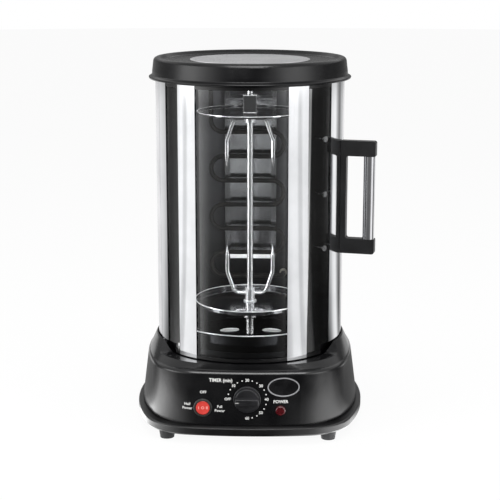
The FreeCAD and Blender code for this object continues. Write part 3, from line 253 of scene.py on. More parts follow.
def edge_highlit_black():
    """Black oxide on a steel block, with a painted highlight of bright metal colour along its
    edges.
    """
    material, tree, place = start("black oxide with painted edge highlights")
    soft = put(tree, "ShaderNodeBevel", {"Radius": 1.4 * MM}, samples=8).outputs[0]
    true = put(tree, "ShaderNodeNewGeometry").outputs["Normal"]
    # The two normals part only near an edge, by up to a few hundredths.
    align = put(tree, "ShaderNodeVectorMath", {0: soft, 1: true}, operation="DOT_PRODUCT")
    patch = pattern(tree, place, 3 * MM, detail=4)
    # Painted highlight: near an edge the colour turns to bright metal.
    coat(tree, (align.outputs["Value"], "#d6d6d8", "#101011", 0.9, 0.985), (patch, 0.32, 0.48))
    return material


def cast_ceramic():
    """Unglazed steatite beads: chalky, with a fine gritty skin."""
    material, tree, place = start("unglazed ceramic")
    grit = pattern(tree, place, 0.5 * MM, detail=4)
    coat(tree, (grit, "#cfc9ba", "#e8e3d6"), (grit, 0.75, 0.9), (grit, 0.04 * MM), {"IOR": 1.55})
    return material


def pad_print(name, dark, light):
    """Pad-printing ink or foil: flat, and thin enough to fade in small specks."""
    material, tree, place = start(name)
    speck = pattern(tree, place, 0.35 * MM)
    coat(tree, (speck, dark, light), (speck, 0.45, 0.6), fixed={"IOR": 1.5})
    return material


def soft_rubber():
    """Moulded rubber feet: dull black, dusty where they are handled."""
    material, tree, place = start("moulded rubber")
    dust = pattern(tree, place, 5 * MM, detail=5)
    skin = pattern(tree, place, 0.4 * MM, detail=2)
    coat(tree, (dust, "#111112", "#202122"), (dust, 0.6, 0.8), (skin, 0.04 * MM), {"IOR": 1.52})
    return material


def white_paper():
    """Matt white paper: it takes a soft shadow, and is seen nearly as white as the room."""
    material, tree, place = start("white paper floor")
    fibre = pattern(tree, place, 1.5 * MM)
    colour = put(tree, "ShaderNodeValToRGB", {"Fac": fibre},
                 ((NOISE_SPAN[0], linear("#f2f2f2")), (NOISE_SPAN[1], linear("#f8f8f8"))))
    lit = put(tree, "ShaderNodeBsdfDiffuse", {"Color": colour.outputs[0]}).outputs[0]
    plain = put(tree, "ShaderNodeEmission", {"Color": WHITE, "Strength": 1.0}).outputs[0]
    # Where it is seen, most of it is plain white, and the rest keeps the shadow.
    white = put(tree, "ShaderNodeMixShader", {0: 0.93, 1: lit, 2: plain}).outputs[0]
    seen = put(tree, "ShaderNodeMixShader", {0: seen_ray(tree), 1: lit, 2: white})
    put(tree, "ShaderNodeOutputMaterial", {"Surface": seen.outputs[0]})
    return material


# Bands of light round the grill, each stop a bearing in degrees and a level there. Bearings count
# from the front, and are positive towards the side with the handle.
FAR_BANDS = (
    # The left soft box with its darker bar, and the black flag in front of the grill.
    (-90, 1.4), (-85, 1.4), (-84, 0.88), (-79, 0.92), (-78, 1.35), (-62, 1.2), (-46, 0.2),
    (-25, 0.05), (0, 0.02), (25, 0.04), (40, 0.2),
    # The right soft box with its darker bar, and the flag beside it.
    (51, 1.2), (59, 1.2), (60, 0.8), (65, 0.84), (66, 1.2), (75, 1.0), (80, 0.12), (94, 0.03),
    (106, 0.04),
    # The narrow box behind it, and the wide one at the back.
    (113, 0.5), (119, 1.1), (126, 1.2), (131, 0.5), (138, 0.06), (150, 0.8), (200, 0.85),
    (221, 0.95), (236, 0.8), (250, 0.12), (260, 0.5), (269.9, 1.2))
NEAR_BANDS = (
    # The lit floor, left and right of the dark stretch in front of the panel.
    (-90, 0.25), (-82, 0.9), (-69, 1.1), (-61, 0.95), (-52, 0.65), (-44, 0.4), (-37, 0.26),
    (-30, 0.13), (-22, 0.04), (-10, 0.01), (10, 0.01), (17, 0.07), (25, 0.18), (33, 0.36),
    (42, 0.7), (50, 0.82), (59, 0.8), (70, 0.55), (79, 0.25),
    # The dark floor behind the grill.
    (92, 0.06), (130, 0.04), (200, 0.06), (240, 0.06), (258, 0.08), (269.9, 0.25))
TOP_LEVEL = 2  # a ramp can't hold more than 1, so it holds levels as shares of this
FAR_POWER, NEAR_POWER = 2.2, 10.0
NEAR_ENDS = (0.38, 0.43)  # distances from the tower between which the near bands fade out
WALL_STARTS = (0.1, 0.3)  # heights between which they come back, up on the wall
HAZE_GROWS = (0.7, 1.4)  # distances between which the haze grows
HAZE = (0.02, 0.16)  # its power there


def soft_boxes_and_flags():
    """What polish mirrors: soft boxes and black flags, as bands of light round the grill.

    The near bands hold close by and up on the wall. The far ones hold on the floor between, with
    a haze that grows with the distance.
    """
    material, tree, place = start("soft boxes and flags")
    centred = put(tree, "ShaderNodeMapping",
                  {"Vector": place, "Location": (-TOWER_X, 0, 0)}).outputs[0]
    bearing = put(tree, "ShaderNodeTexGradient", {"Vector": centred}, gradient_type="RADIAL")
    levels = []
    for bands in (FAR_BANDS, NEAR_BANDS):
        stops = [((degrees + 90) / 360, grey(level / TOP_LEVEL)) for degrees, level in bands]
        ramp = put(tree, "ShaderNodeValToRGB", {"Fac": bearing.outputs["Fac"]}, stops)
        levels.append(ramp.outputs[0])
    far, near = levels
    flat = put(tree, "ShaderNodeVectorMath", {0: centred, 1: (1, 1, 0)}, operation="MULTIPLY")
    reach = put(tree, "ShaderNodeVectorMath", {0: flat.outputs[0]},
                operation="LENGTH").outputs["Value"]
    height = put(tree, "ShaderNodeSeparateXYZ", {0: centred}).outputs[2]
    close_by = put(tree, "ShaderNodeMapRange",
                   {"Value": reach, "From Min": NEAR_ENDS[0], "From Max": NEAR_ENDS[1],
                    "To Min": 1.0, "To Max": 0.0})
    on_wall = put(tree, "ShaderNodeMapRange",
                  {"Value": height, "From Min": WALL_STARTS[0], "From Max": WALL_STARTS[1]})
    strong = put(tree, "ShaderNodeMath", {0: close_by.outputs[0], 1: on_wall.outputs[0]},
                 operation="MAXIMUM")
    haze = put(tree, "ShaderNodeMapRange",
               {"Value": reach, "From Min": HAZE_GROWS[0], "From Max": HAZE_GROWS[1],
                "To Min": HAZE[0], "To Max": HAZE[1]})
    dim = put(tree, "ShaderNodeMath", {0: far, 1: FAR_POWER, 2: haze.outputs[0]},
              operation="MULTIPLY_ADD")
    bright = put(tree, "ShaderNodeMath", {0: near, 1: NEAR_POWER}, operation="MULTIPLY")
    power = put(tree, "ShaderNodeMix",
                {0: strong.outputs[0], 2: dim.outputs[0], 3: bright.outputs[0]})
    glow = put(tree, "ShaderNodeEmission", {"Color": WHITE, "Strength": power.outputs[0]})
    put(tree, "ShaderNodeOutputMaterial", {"Surface": glow.outputs[0]})
    return material


def white_room():
    """A world that is white where it is seen, and lights the grill with under half of that."""
    world = bpy.data.worlds.new("studio")
    world.use_nodes = True
    tree = world.node_tree
    tree.nodes.clear()
    level = put(tree, "ShaderNodeMapRange",
                {"Value": seen_ray(tree), "To Min": 0.45, "To Max": 1.0})
    sky = put(tree, "ShaderNodeBackground", {"Color": WHITE, "Strength": level.outputs[0]})
    put(tree, "ShaderNodeOutputWorld", {"Surface": sky.outputs[0]})
    return world


# Shapes --------------------------------------------------------------------------------------


def placed(name, shape, material):
    """Turns a bmesh into an object at the origin with one material."""
    mesh = bpy.data.meshes.new(name)
    shape.to_mesh(mesh)
    shape.free()
    mesh.materials.append(material)
    thing = bpy.data.objects.new(name, mesh)
    bpy.context.scene.collection.objects.link(thing)
    return thing


def finished(name, shape, material, body, smooth=None):
    """Turns a bmesh into a piece that rides with a body, with its faces pointing outwards."""
    bmesh.ops.recalc_face_normals(shape, faces=shape.faces)
    piece = placed(name, shape, material)
    if smooth is not None:
        piece.data.shade_smooth()
        piece.data.set_sharp_from_angle(angle=math.radians(smooth))
    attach(piece, body)
    return piece


def add_shape(whole, shape):
    """Adds one bmesh to another, and frees it."""
    mesh = bpy.data.meshes.new("part")
    shape.to_mesh(mesh)
    shape.free()
    whole.from_mesh(mesh)
    bpy.data.meshes.remove(mesh)


def skin_of(node):
    """A tree of a node's faces, to find where a ray meets them."""
    shape = bmesh.new()
    shape.from_mesh(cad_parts[node].data)
    tree = BVHTree.FromBMesh(shape)
    shape.free()
    return tree


def add_word(shape, text, height, centre, thick, bold=0.022, spread=1.0):
    """Adds one word to a bmesh, upright in the XZ plane and facing -Y."""
    curve = bpy.data.curves.new(text, "FONT")
    curve.body = text
    curve.size = height / CAPITALS
    curve.offset = bold * curve.size
    curve.align_x = "CENTER"
    curve.align_y = "CENTER"
    curve.resolution_u = 3
    curve.extrude = thick / 2
    holder = bpy.data.objects.new(text, curve)
    bpy.context.scene.collection.objects.link(holder)
    bpy.context.view_layer.update()
    depsgraph = bpy.context.evaluated_depsgraph_get()
    mesh = bpy.data.meshes.new_from_object(holder.evaluated_get(depsgraph))
    bpy.data.objects.remove(holder)
    widened = Matrix.Diagonal((spread, 1, 1, 1))
    mesh.transform(Matrix.Translation(centre) @ UPRIGHT @ widened)
    shape.from_mesh(mesh)
    bpy.data.meshes.remove(mesh)


def add_dot(shape, radius, centre, thick):
    """Adds one printed dot to a bmesh, facing -Y."""
    bmesh.ops.create_cone(shape, cap_ends=True, segments=16, radius1=radius, radius2=radius,
                          depth=thick, matrix=Matrix.Translation(centre) @ UPRIGHT)


def press_on(shape, skin, proud):
    """Moves each point of a flat print back on to the surface behind it, and out by proud."""
    for point in shape.verts:
        hit = skin.ray_cast(Vector((point.co.x, AHEAD, point.co.z)), Vector((0, 1, 0)))[0]
        if hit is None:
            raise RuntimeError("a print lies beside the surface that carries it")
        point.co.y = hit.y + point.co.y - proud
    bmesh.ops.remove_doubles(shape, verts=shape.verts, dist=1e-7)


# Settings ------------------------------------------------------------------------------------


class GrillColours(bpy.types.PropertyGroup):
    """Colours that a user may change."""

    plastic: bpy.props.StringProperty(
        name="Plastic", description="Light tone of the black housing, sRGB hex",
        default="#0d0d0e")
    print: bpy.props.StringProperty(
        name="Print", description="Ink of the dial and labels, sRGB hex", default="#eeeeec")
    switch: bpy.props.StringProperty(
        name="Switch", description="Plastic of the rocker, sRGB hex", default="#c2372f")
    lamp: bpy.props.StringProperty(
        name="Lamp", description="Lens of the power lamp, sRGB hex", default="#3a0208")


class GrillSizes(bpy.types.PropertyGroup):
    """Sizes that a user may change."""

    dial_radius: bpy.props.FloatProperty(
        name="Dial radius", description="From the knob's axis to the middle of the numbers",
        default=24.8 * MM, unit="LENGTH", subtype="DISTANCE")
    number_height: bpy.props.FloatProperty(
        name="Number height", description="Height of the dial's numbers",
        default=3.6 * MM, unit="LENGTH", subtype="DISTANCE")
    title_height: bpy.props.FloatProperty(
        name="Title height", description="Height of the capitals over the dial",
        default=4.4 * MM, unit="LENGTH", subtype="DISTANCE")
    label_height: bpy.props.FloatProperty(
        name="Label height", description="Height of the capitals beside the switch",
        default=3.4 * MM, unit="LENGTH", subtype="DISTANCE")
    dot_radius: bpy.props.FloatProperty(
        name="Dot radius", description="Radius of the dots between two numbers",
        default=0.85 * MM, unit="LENGTH", subtype="DISTANCE")
    ink: bpy.props.FloatProperty(
        name="Ink", description="Thickness of the printing",
        default=0.08 * MM, unit="LENGTH", subtype="DISTANCE")


class GrillStage(bpy.types.PropertyGroup):
    """Place, turn and lens of the camera."""

    eye: bpy.props.FloatVectorProperty(
        name="Camera place", description="Where the camera stands",
        default=(39.6 * MM, -1759.7 * MM, 617.3 * MM), unit="LENGTH", subtype="TRANSLATION")
    pitch: bpy.props.FloatProperty(
        name="Pitch", description="How far the camera looks down",
        default=math.radians(12.68), subtype="ANGLE")
    heading: bpy.props.FloatProperty(
        name="Heading", description="How far the camera turns to the left",
        default=math.radians(1.5), subtype="ANGLE")
    lens: bpy.props.FloatProperty(
        name="Lens", description="Focal length on a 36 mm sensor",
        default=96.65, subtype="DISTANCE_CAMERA")


# Pieces --------------------------------------------------------------------------------------


class GRILL_OT_finish(bpy.types.Operator):
    """Gives every solid of the grill its finish"""

    bl_idname = "grill.finish"
    bl_label = "Finish the solids"

    def execute(self, context):
        colours = context.scene.grill_colours
        dressing = (
            # Black mouldings and enamels, told apart by how sharply they mirror the studio.
            (moulded_black("satin-gloss ABS", "#060607", colours.plastic, 0.21, 0.5 * MM,
                           0.006 * MM, shine=0.36),
             ["base_housing"]),
            (moulded_black("satin ABS", "#070708", "#101011", 0.36, 0.6 * MM, 0.012 * MM),
             ["base_plate"]),
            (moulded_black("heat-proof satin enamel", "#060607", "#0e0e0f", 0.24, 0.5 * MM,
                           0.006 * MM, shine=0.22),
             ["lid_cover"]),
            (moulded_black("moulded phenolic", "#0b0b0c", "#161618", 0.38, 0.7 * MM, 0.02 * MM),
             ["cord_bushing", "terminal_block", "thermal_cutout", "door_catch",
              "handle_bracket"]),
            (moulded_black("grey-black polycarbonate", "#232322", "#333331", 0.28, 0.5 * MM,
                           0.004 * MM),
             ["switch_housing"]),
            (moulded_black("semi-gloss ABS", "#151517", "#29292c", 0.32, 0.5 * MM, 0.004 * MM),
             ["timer_knob"]),
            (moulded_black("black stove enamel", "#060607", "#0e0e0f", 0.22, 1.2 * MM, 0.01 * MM),
             ["door_bottom_rail", "door_top_rail"]),
            (soft_rubber(), ["base_feet"]),
            (edge_highlit_black(), ["fork_collar"]),
            # The rocker glows a little in its lamp's light, and the lens looks unlit.
            (clear_plastic("red polycarbonate", colours.switch, "#cc4038", 0.1, 0.14),
             ["power_rocker"]),
            (clear_plastic("dark red lens", colours.lamp, "#55060f", 0.01, 0.1),
             ["power_lamp"]),
            # Sheet round the chamber, from the bright outer shell to the liner with painted shade
            # low down.
            (rolled_steel("polished stainless sheet", "#b4b4b7", "#cdcdd0", 0.18, 1.2 * MM,
                          150 * MM, 0.002 * MM),
             ["rear_shell"]),
            (rolled_steel("polished reflector sheet", "#a8a8ab", "#d2d2d5", 0.13, 2.4 * MM,
                          80 * MM, 0.004 * MM),
             ["reflector"]),
            # Painted highlight: the posts, folds of the reflector sheet, get a lighter copy of its
            # steel.
            (rolled_steel("polished post, lighter for painted highlight", "#c4c4c7", "#e2e2e4", 0.2, 1.2 * MM, 80 * MM,
                          0.002 * MM),
             ["reflector_posts"]),
            (shaded_chamber_steel(),
             ["chamber_floor", "inner_liner", "element_brackets", "top_plate"]),
            # Fine lines that run along X give the lid's disc a wide, soft sheen.
            (rolled_steel("brushed stainless sheet", "#cfcfd1", "#e2e2e4", 0.32, 0.35 * MM,
                          40 * MM, 0.003 * MM, turn=(0, math.radians(90), 0), spread=0.16),
             ["lid_disc"]),
            # Chrome of the door and its handle: nearly a mirror, with a trace of drawn lines.
            (rolled_steel("polished chrome strip", "#c2c3c5", "#cccdcf", 0.09, 0.8 * MM,
                          90 * MM, 0.0008 * MM),
             ["door_trim_left", "door_trim_right", "door_handle_stile", "door_hinge_stile"]),
            (rolled_steel("chromed tube", "#c6c6c9", "#d6d6d9", 0.1, 0.9 * MM, 60 * MM,
                          0.001 * MM),
             ["handle_grip"]),
            (oven_glass(), ["door_glass"]),
            # The spit, its discs and the pan: bright wire, polished discs, and a pan darkened all
            # over as painted shade.
            (rolled_steel("nickel-plated wire", "#c5c5c8", "#dededf", 0.2, 0.7 * MM, 14 * MM,
                          0.001 * MM),
             ["lower_fork", "upper_fork", "spit_rod", "drive_shaft", "spit_socket"]),
            (spun_steel(), ["lower_disc", "upper_disc"]),
            # Painted shade: the pan's steel is given a dark colour all over.
            (rolled_steel("pressed steel darkened as painted shade", "#2e2e30", "#464649", 0.16, 3 * MM,
                          3 * MM, 0.002 * MM),
             ["drip_pan"]),
            # The heater: a burnt tube in chalky beads.
            (burnt_sheath(), ["heating_element"]),
            (cast_ceramic(), ["element_terminals"]),
            # Plated metal out of sight, and its screws: dull, without a direction.
            (rolled_steel("galvanised sheet", "#9a9c9e", "#b9bbbd", 0.4, 6 * MM, 6 * MM,
                          0.01 * MM, spread=0.2),
             ["motor_bracket", "gear_motor"]),
            (rolled_steel("zinc-plated steel", "#a3a4a6", "#c7c8ca", 0.3, 2 * MM, 2 * MM,
                          0.006 * MM),
             ["base_screws", "timer_body", "timer_spindle", "top_bearing", "lower_hinge_bush",
              "door_hinge_pins", "handle_screws", "collar_screw", "hub_washer"]),
        )
        done = set()
        for material, names in dressing:
            for name in names:
                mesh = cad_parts[name].data
                mesh.materials.clear()
                mesh.materials.append(material)
                done.add(name)
        left = set(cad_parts) - done
        if left:
            raise RuntimeError(f"no finish for {sorted(left)}")
        return {"FINISHED"}


class GRILL_OT_print(bpy.types.Operator):
    """Prints the dial, the switch labels, the lamp's label and the rocker's legend"""

    bl_idname = "grill.print"
    bl_label = "Print the front"

    def execute(self, context):
        sizes = context.scene.grill_sizes
        ink = pad_print("white pad print", "#d2d2d0", context.scene.grill_colours.print)
        proud = INK_PROUD * sizes.ink
        front = skin_of("base_housing")
        knob = middle("timer_knob")
        switch = middle("switch_housing")
        lamp = middle("power_lamp")
        rocker = middle("power_rocker")

        # The dial runs clockwise over 270 degrees, from OFF at the left, two dots between words.
        dial = bmesh.new()
        words = ("OFF", "10", "20", "30", "40", "50", "60")
        steps = 3 * (len(words) - 1)
        for i in range(steps + 1):
            turn = math.radians(180 - 270 * i / steps)
            spot = (knob.x + sizes.dial_radius * math.cos(turn), 0,
                    knob.z + sizes.dial_radius * math.sin(turn))
            if i % 3:
                add_dot(dial, sizes.dot_radius, spot, sizes.ink)
            else:
                height = sizes.number_height * (1 if i else 0.92)
                add_word(dial, words[i // 3], height, spot, sizes.ink)
        title = (knob.x - 33.6 * MM, 0, knob.z + 24.2 * MM)
        add_word(dial, "TIMER (min)", sizes.title_height, title, sizes.ink, bold=0.02, spread=0.92)
        press_on(dial, front, proud)
        finished("dial_print", dial, ink, "stand")

        # Labels round the switch: one word over it, and two lines of one word at each side.
        labels = bmesh.new()
        line = sizes.label_height * 0.78
        left_x, left_z = switch.x - 20 * MM, switch.z + 1.2 * MM
        right_x, right_z = switch.x + 21.6 * MM, switch.z - 0.8 * MM
        for text, x, z in (("OFF", switch.x + 0.6 * MM, switch.z + 20.2 * MM),
                           ("Half", left_x, left_z + line), ("Power", left_x, left_z - line),
                           ("Full", right_x, right_z + line), ("Power", right_x, right_z - line)):
            add_word(labels, text, sizes.label_height, (x, 0, z), sizes.ink, bold=0.016)
        over_lamp = (lamp.x + 0.2 * MM, 0, lamp.z + 11.6 * MM)
        add_word(labels, "POWER", sizes.label_height * 1.12, over_lamp, sizes.ink, bold=0.02)
        press_on(labels, front, proud)
        finished("label_print", labels, ink, "stand")

        legend = bmesh.new()
        pale = pad_print("pale pink print", "#e58f88", "#f0b2ab")
        for text, shift in (("I", -5.2 * MM), ("O", 0.0), ("II", 5.2 * MM)):
            add_word(legend, text, 3.6 * MM, (rocker.x + shift, 0, rocker.z), sizes.ink)
        press_on(legend, skin_of("power_rocker"), proud)
        finished("rocker_legend", legend, pale, "rocker")
        return {"FINISHED"}


class GRILL_OT_badge(bpy.types.Operator):
    """Sets a plain oval plate into the front, with a bright rim and nothing on it"""

    bl_idname = "grill.badge"
    bl_label = "Blank oval plate"

    def execute(self, context):
        knob = middle("timer_knob")
        centre = (knob.x + 46.3 * MM, 0, knob.z + 15.8 * MM)
        half_width, half_height, thick = 20.4 * MM, 12.4 * MM, 0.5 * MM
        place = (Matrix.Translation(centre) @ UPRIGHT
                 @ Matrix.Diagonal((half_width, half_height, thick, 1)))
        plate = bmesh.new()
        bmesh.ops.create_cone(plate, cap_ends=True, segments=64, radius1=1, radius2=1, depth=1,
                              matrix=place)
        # Inside a rim 1.5 mm wide, the plate's front lies 0.3 mm deeper.
        face = min(plate.faces, key=lambda f: f.calc_center_median().y)
        bmesh.ops.inset_region(plate, faces=[face], thickness=1.5 * MM, depth=0)
        bmesh.ops.translate(plate, verts=face.verts, vec=(0, 0.3 * MM, 0))
        press_on(plate, skin_of("base_housing"), 0.1 * MM)
        rim = pad_print("silver foil stamping", "#77777a", "#9a9a9c")
        lacquer = moulded_black("black lacquer", "#0c0c0d", "#161618", 0.2, 0.4 * MM, 0.002 * MM)
        piece = finished("badge_plate", plate, rim, "stand", smooth=30)
        piece.data.materials.append(lacquer)
        # The lacquer takes only the oval inside the rim, the largest face that points forward.
        oval = max(piece.data.polygons, key=lambda f: f.area if f.normal.y < 0 else 0)
        oval.material_index = 1
        return {"FINISHED"}


class GRILL_OT_knob_mark(bpy.types.Operator):
    """Puts the pale line on the timer knob that points at the dial"""

    bl_idname = "grill.knob_mark"
    bl_label = "Knob mark"

    def execute(self, context):
        low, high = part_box("timer_knob")
        centre = (low + high) / 2
        radius = (high.x - low.x) / 2
        # A line 1 mm wide over a quarter of the radius, cut across so that it follows the knob.
        place = (Matrix.Translation((centre.x - radius * 0.72, 0, centre.z))
                 @ Matrix.Diagonal((radius * 0.26, 0.08 * MM, 1.0 * MM, 1)))
        mark = bmesh.new()
        bmesh.ops.create_cube(mark, size=1, matrix=place)
        long_edges = [e for e in mark.edges if abs(e.verts[0].co.x - e.verts[1].co.x) > MM]
        bmesh.ops.subdivide_edges(mark, edges=long_edges, cuts=6, use_grid_fill=True)
        press_on(mark, skin_of("timer_knob"), 0.02 * MM)
        finished("knob_mark", mark, pad_print("grey knob print", "#9b9b99", "#c4c4c2"), "knob")
        return {"FINISHED"}


class GRILL_OT_screws(bpy.types.Operator):
    """Adds the cross-head screws that hold the rear shell"""

    bl_idname = "grill.screws"
    bl_label = "Sheet screws"

    def execute(self, context):
        steel = rolled_steel("black-zinc screw", "#3b3b3d", "#59595c", 0.35, 1 * MM, 1 * MM,
                             0.004 * MM)
        low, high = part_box("rear_shell")
        radius = (high.x - low.x) / 2
        centre_x = (high.x + low.x) / 2
        edge = 14 * MM
        outwards = Matrix.Rotation(math.radians(90), 4, "Y")
        screws = bmesh.new()
        for height in (low.z + edge, high.z - edge, (low.z + high.z) / 2):
            for degrees in (30, 70, 110, 150):
                angle = math.radians(degrees)
                # A flattened dome with a thin cross on it.
                head = bmesh.new()
                bmesh.ops.create_uvsphere(head, u_segments=16, v_segments=8, radius=3.2 * MM)
                bmesh.ops.scale(head, vec=(1, 1, 0.42), verts=head.verts)
                for turn in (0, math.pi / 2):
                    bar = (Matrix.Translation((0, 0, 1.2 * MM)) @ Matrix.Rotation(turn, 4, "Z")
                           @ Matrix.Diagonal((3.4 * MM, 0.6 * MM, 0.5 * MM, 1)))
                    bmesh.ops.create_cube(head, size=1, matrix=bar)
                spot = (centre_x + radius * math.cos(angle), radius * math.sin(angle), height)
                place = Matrix.Translation(spot) @ Matrix.Rotation(angle, 4, "Z") @ outwards
                bmesh.ops.transform(head, matrix=place, verts=head.verts)
                add_shape(screws, head)
        finished("shell_screws", screws, steel, "stand", smooth=35)
        return {"FINISHED"}


class GRILL_OT_beads(bpy.types.Operator):
    """Rolls the rims of the discs and the pan, presses its ribs and folds the reflector's hem"""

    bl_idname = "grill.beads"
    bl_label = "Rims, ribs and hem"

    def execute(self, context):
        # Painted highlight: the rims, ribs and hem get a lighter steel than the sheets they are
        # part of.
        steel = rolled_steel("rolled edge lightened as painted highlight", "#d4d4d6", "#ececee", 0.36, 1 * MM, 1 * MM,
                             0.001 * MM)
        rims = (("lower_disc_bead", "lower_disc", "spit", 0.8 * MM),
                ("upper_disc_bead", "upper_disc", "spit", 0.7 * MM),
                ("pan_bead", "drip_pan", "pan", 0.8 * MM))
        for name, node, body, lip in rims:
            # The lip is the bead's own radius. The bead's middle lies inside the rim's edge by 0.6
            # of it, and under the rim's top by 0.3.
            low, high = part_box(node)
            radius = (high.x - low.x) / 2 - lip * 0.6
            centre = ((low.x + high.x) / 2, (low.y + high.y) / 2, high.z - lip * 0.3)
            place = Matrix.Translation((centre[0] + radius, *centre[1:])) @ UPRIGHT
            bead = bmesh.new()
            bmesh.ops.create_circle(bead, segments=10, radius=lip, matrix=place)
            bmesh.ops.spin(bead, geom=bead.verts[:] + bead.edges[:], cent=centre, axis=(0, 0, 1),
                           angle=math.tau, steps=96, use_merge=True)
            bmesh.ops.remove_doubles(bead, verts=bead.verts, dist=1e-6)
            finished(name, bead, steel, body, smooth=60)

        # Four low ribs, each a flat ellipsoid sunk into the pan's floor.
        floor_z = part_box("drip_pan")[0].z
        ribs = bmesh.new()
        for side, depth in ((-1, -1), (-1, 1), (1, -1), (1, 1)):
            spot = (TOWER_X + side * 29.5 * MM, depth * 39 * MM, floor_z + 1.0 * MM)
            turn = math.radians(-12 * side * depth)
            place = (Matrix.Translation(spot) @ Matrix.Rotation(turn, 4, "Z")
                     @ Matrix.Diagonal((13.5 * MM, 6.5 * MM, 2.2 * MM, 1)))
            rib = bmesh.new()
            bmesh.ops.create_uvsphere(rib, u_segments=24, v_segments=12, radius=1)
            bmesh.ops.transform(rib, matrix=place, verts=rib.verts)
            add_shape(ribs, rib)
        finished("pan_ribs", ribs, steel, "pan", smooth=60)

        # The reflector's lower edge is folded forward into a narrow hem.
        low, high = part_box("reflector")
        width, thick, tall = high.x - low.x, 1.6 * MM, 8 * MM
        place = (Matrix.Translation(((low.x + high.x) / 2, low.y + 0.6 * MM, low.z - tall / 2))
                 @ Matrix.Rotation(math.radians(-23), 4, "X")
                 @ Matrix.Diagonal((width, thick, tall, 1)))
        hem = bmesh.new()
        bmesh.ops.create_cube(hem, size=1, matrix=place)
        bmesh.ops.bevel(hem, geom=hem.edges[:], affect="EDGES", offset=0.6 * MM, segments=2,
                        profile=0.5, material=-1)
        finished("reflector_hem", hem, steel, "stand", smooth=60)
        return {"FINISHED"}


# Stage ---------------------------------------------------------------------------------------

# What the edge lamps reach: the wires and rods of the spit, and the bright rolled edges.
EDGED = ("lower_fork", "upper_fork", "spit_rod", "spit_socket", "drive_shaft", "hub_washer",
         "fork_collar", "lower_disc_bead", "upper_disc_bead", "pan_bead", "pan_ribs",
         "reflector_hem")
# Each lamp has a name, a place, a width, a height and a power in watts. The big ones light the
# whole grill, and are mirrored in polish or not.
BIG_LAMPS = (
    ("left_box", (-1.5, -0.9, 0.9), 0.7, 1.5, 14.0, False),
    ("right_box", (1.5, -1.0, 0.9), 0.5, 1.5, 10.0, False),
    ("top_box", (0.0, -0.25, 1.9), 1.3, 0.9, 15.0, False),
    ("front_box", (0.0, -2.6, 1.7), 2.2, 0.5, 22.0, True))
# The small ones light only the parts named, and a part in front shades them or not.
SMALL_LAMPS = (
    ("edge_left", (-1.45, -0.3, 0.0), 1.3, 1.3, 140.0, False, EDGED),
    ("edge_right", (1.45, -0.3, 0.0), 1.3, 1.3, 120.0, False, EDGED),
    ("edge_back", (0.0, 1.4, 1.25), 1.2, 0.6, 55.0, False, EDGED),
    ("edge_front", (0.0, -2.4, 1.8), 1.6, 0.6, 50.0, False, EDGED),
    ("sheet_front", (-0.15, -1.5, 0.12), 0.5, 0.3, 1.3, False, ("inner_liner", "heating_element")),
    ("sheet_right", (1.3, -0.8, 0.25), 0.6, 0.5, 1.2, False,
     ("reflector_posts", "heating_element")),
    ("mirror_front", (-0.15, -1.5, 0.12), 1.0, 0.3, 0.35, True, ("reflector",)),
    ("edge_panel", (0.0, -1.7, 2.4), 2.0, 1.6, 85.0, False, ("base_housing", "lid_cover")))
AIM = Vector((TOWER_X, 0, 0.25))  # the place in the chamber that all lamps face
FLOOR_RADIUS = 9.0
RING_RADIUS, RING_HEIGHT = 3.0, 1.5  # the disc that carries the soft boxes, and its wall


def hung_lamp(name, spot, wide, tall, power):
    """A rectangular lamp that faces the chamber, and that the camera doesn't see."""
    data = bpy.data.lights.new(name, "AREA")
    data.shape = "RECTANGLE"
    data.size = wide
    data.size_y = tall
    data.energy = power
    lamp = bpy.data.objects.new(name, data)
    lamp.location = spot
    lamp.rotation_euler = (AIM - Vector(spot)).to_track_quat("-Z", "Y").to_euler()
    lamp.visible_camera = False
    bpy.context.scene.collection.objects.link(lamp)
    return lamp


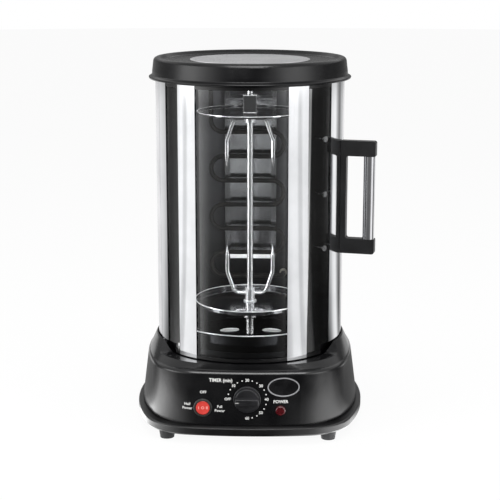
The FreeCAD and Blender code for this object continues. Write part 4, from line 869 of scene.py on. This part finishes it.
class GRILL_OT_stage(bpy.types.Operator):
    """Sets the floor, the white room, the studio lights and the camera"""

    bl_idname = "grill.stage"
    bl_label = "Stage"

    def execute(self, context):
        stage = context.scene.grill_stage
        scene = context.scene
        scene.view_settings.view_transform = "Standard"

        ground = bmesh.new()
        bmesh.ops.create_circle(ground, cap_ends=True, segments=64, radius=FLOOR_RADIUS)
        placed("floor", ground, white_paper())
        scene.world = white_room()

        # A disc just over the floor with a low wall round it, which only glossy rays meet.
        ring = bmesh.new()
        bmesh.ops.create_circle(ring, cap_ends=True, segments=96, radius=RING_RADIUS,
                                matrix=Matrix.Translation((0, 0, MM)))
        grown = bmesh.ops.extrude_edge_only(ring, edges=ring.edges[:])["geom"]
        rim = [v for v in grown if isinstance(v, bmesh.types.BMVert)]
        bmesh.ops.translate(ring, verts=rim, vec=(0, 0, RING_HEIGHT))
        boxes = placed("soft_boxes", ring, soft_boxes_and_flags())
        for kind in ("camera", "diffuse", "transmission", "shadow", "volume_scatter"):
            setattr(boxes, "visible_" + kind, False)

        for *lamp, mirrored in BIG_LAMPS:
            hung_lamp(*lamp).visible_glossy = mirrored

        # Only what is in the group of blockers shades a lamp, and the soft boxes cast no shadow.
        shadowless = bpy.data.collections.new("shadowless")
        shadowless.objects.link(boxes)
        for *lamp, shaded, parts in SMALL_LAMPS:
            lit = bpy.data.collections.new(lamp[0])
            for part in parts:
                lit.objects.link(bpy.data.objects[part])
            linking = hung_lamp(*lamp).light_linking
            linking.receiver_collection = lit
            if not shaded:
                linking.blocker_collection = shadowless

        data = bpy.data.cameras.new("camera")
        data.lens = stage.lens
        data.clip_start = 0.05
        camera = bpy.data.objects.new("camera", data)
        camera.location = stage.eye
        camera.rotation_euler = (math.radians(90) - stage.pitch, 0, stage.heading)
        scene.collection.objects.link(camera)
        scene.camera = camera
        return {"FINISHED"}


# Add-on --------------------------------------------------------------------------------------

GROUPS = {"grill_colours": GrillColours, "grill_sizes": GrillSizes, "grill_stage": GrillStage}
STEPS = (GRILL_OT_finish, GRILL_OT_print, GRILL_OT_badge, GRILL_OT_knob_mark, GRILL_OT_screws,
         GRILL_OT_beads, GRILL_OT_stage)


class GRILL_PT_panel(bpy.types.Panel):
    """Lists the settings and the steps that dress the grill"""

    bl_label = "Skewer grill"
    bl_idname = "GRILL_PT_panel"
    bl_space_type = "VIEW_3D"
    bl_region_type = "UI"
    bl_category = "Grill"

    def draw(self, context):
        layout = self.layout
        for attribute in GROUPS:
            group = getattr(context.scene, attribute)
            for name in group.__annotations__:
                layout.prop(group, name)
        for step in STEPS:
            layout.operator(step.bl_idname)


CLASSES = (*GROUPS.values(), *STEPS, GRILL_PT_panel)


def register():
    for item in CLASSES:
        bpy.utils.register_class(item)
    for attribute, group in GROUPS.items():
        setattr(bpy.types.Scene, attribute, bpy.props.PointerProperty(type=group))


def unregister():
    for attribute in GROUPS:
        delattr(bpy.types.Scene, attribute)
    for item in reversed(CLASSES):
        bpy.utils.unregister_class(item)


def main():
    register()
    for step in STEPS:
        group, name = step.bl_idname.split(".")
        getattr(getattr(bpy.ops, group), name)()


if __name__ == "__main__":
    main()
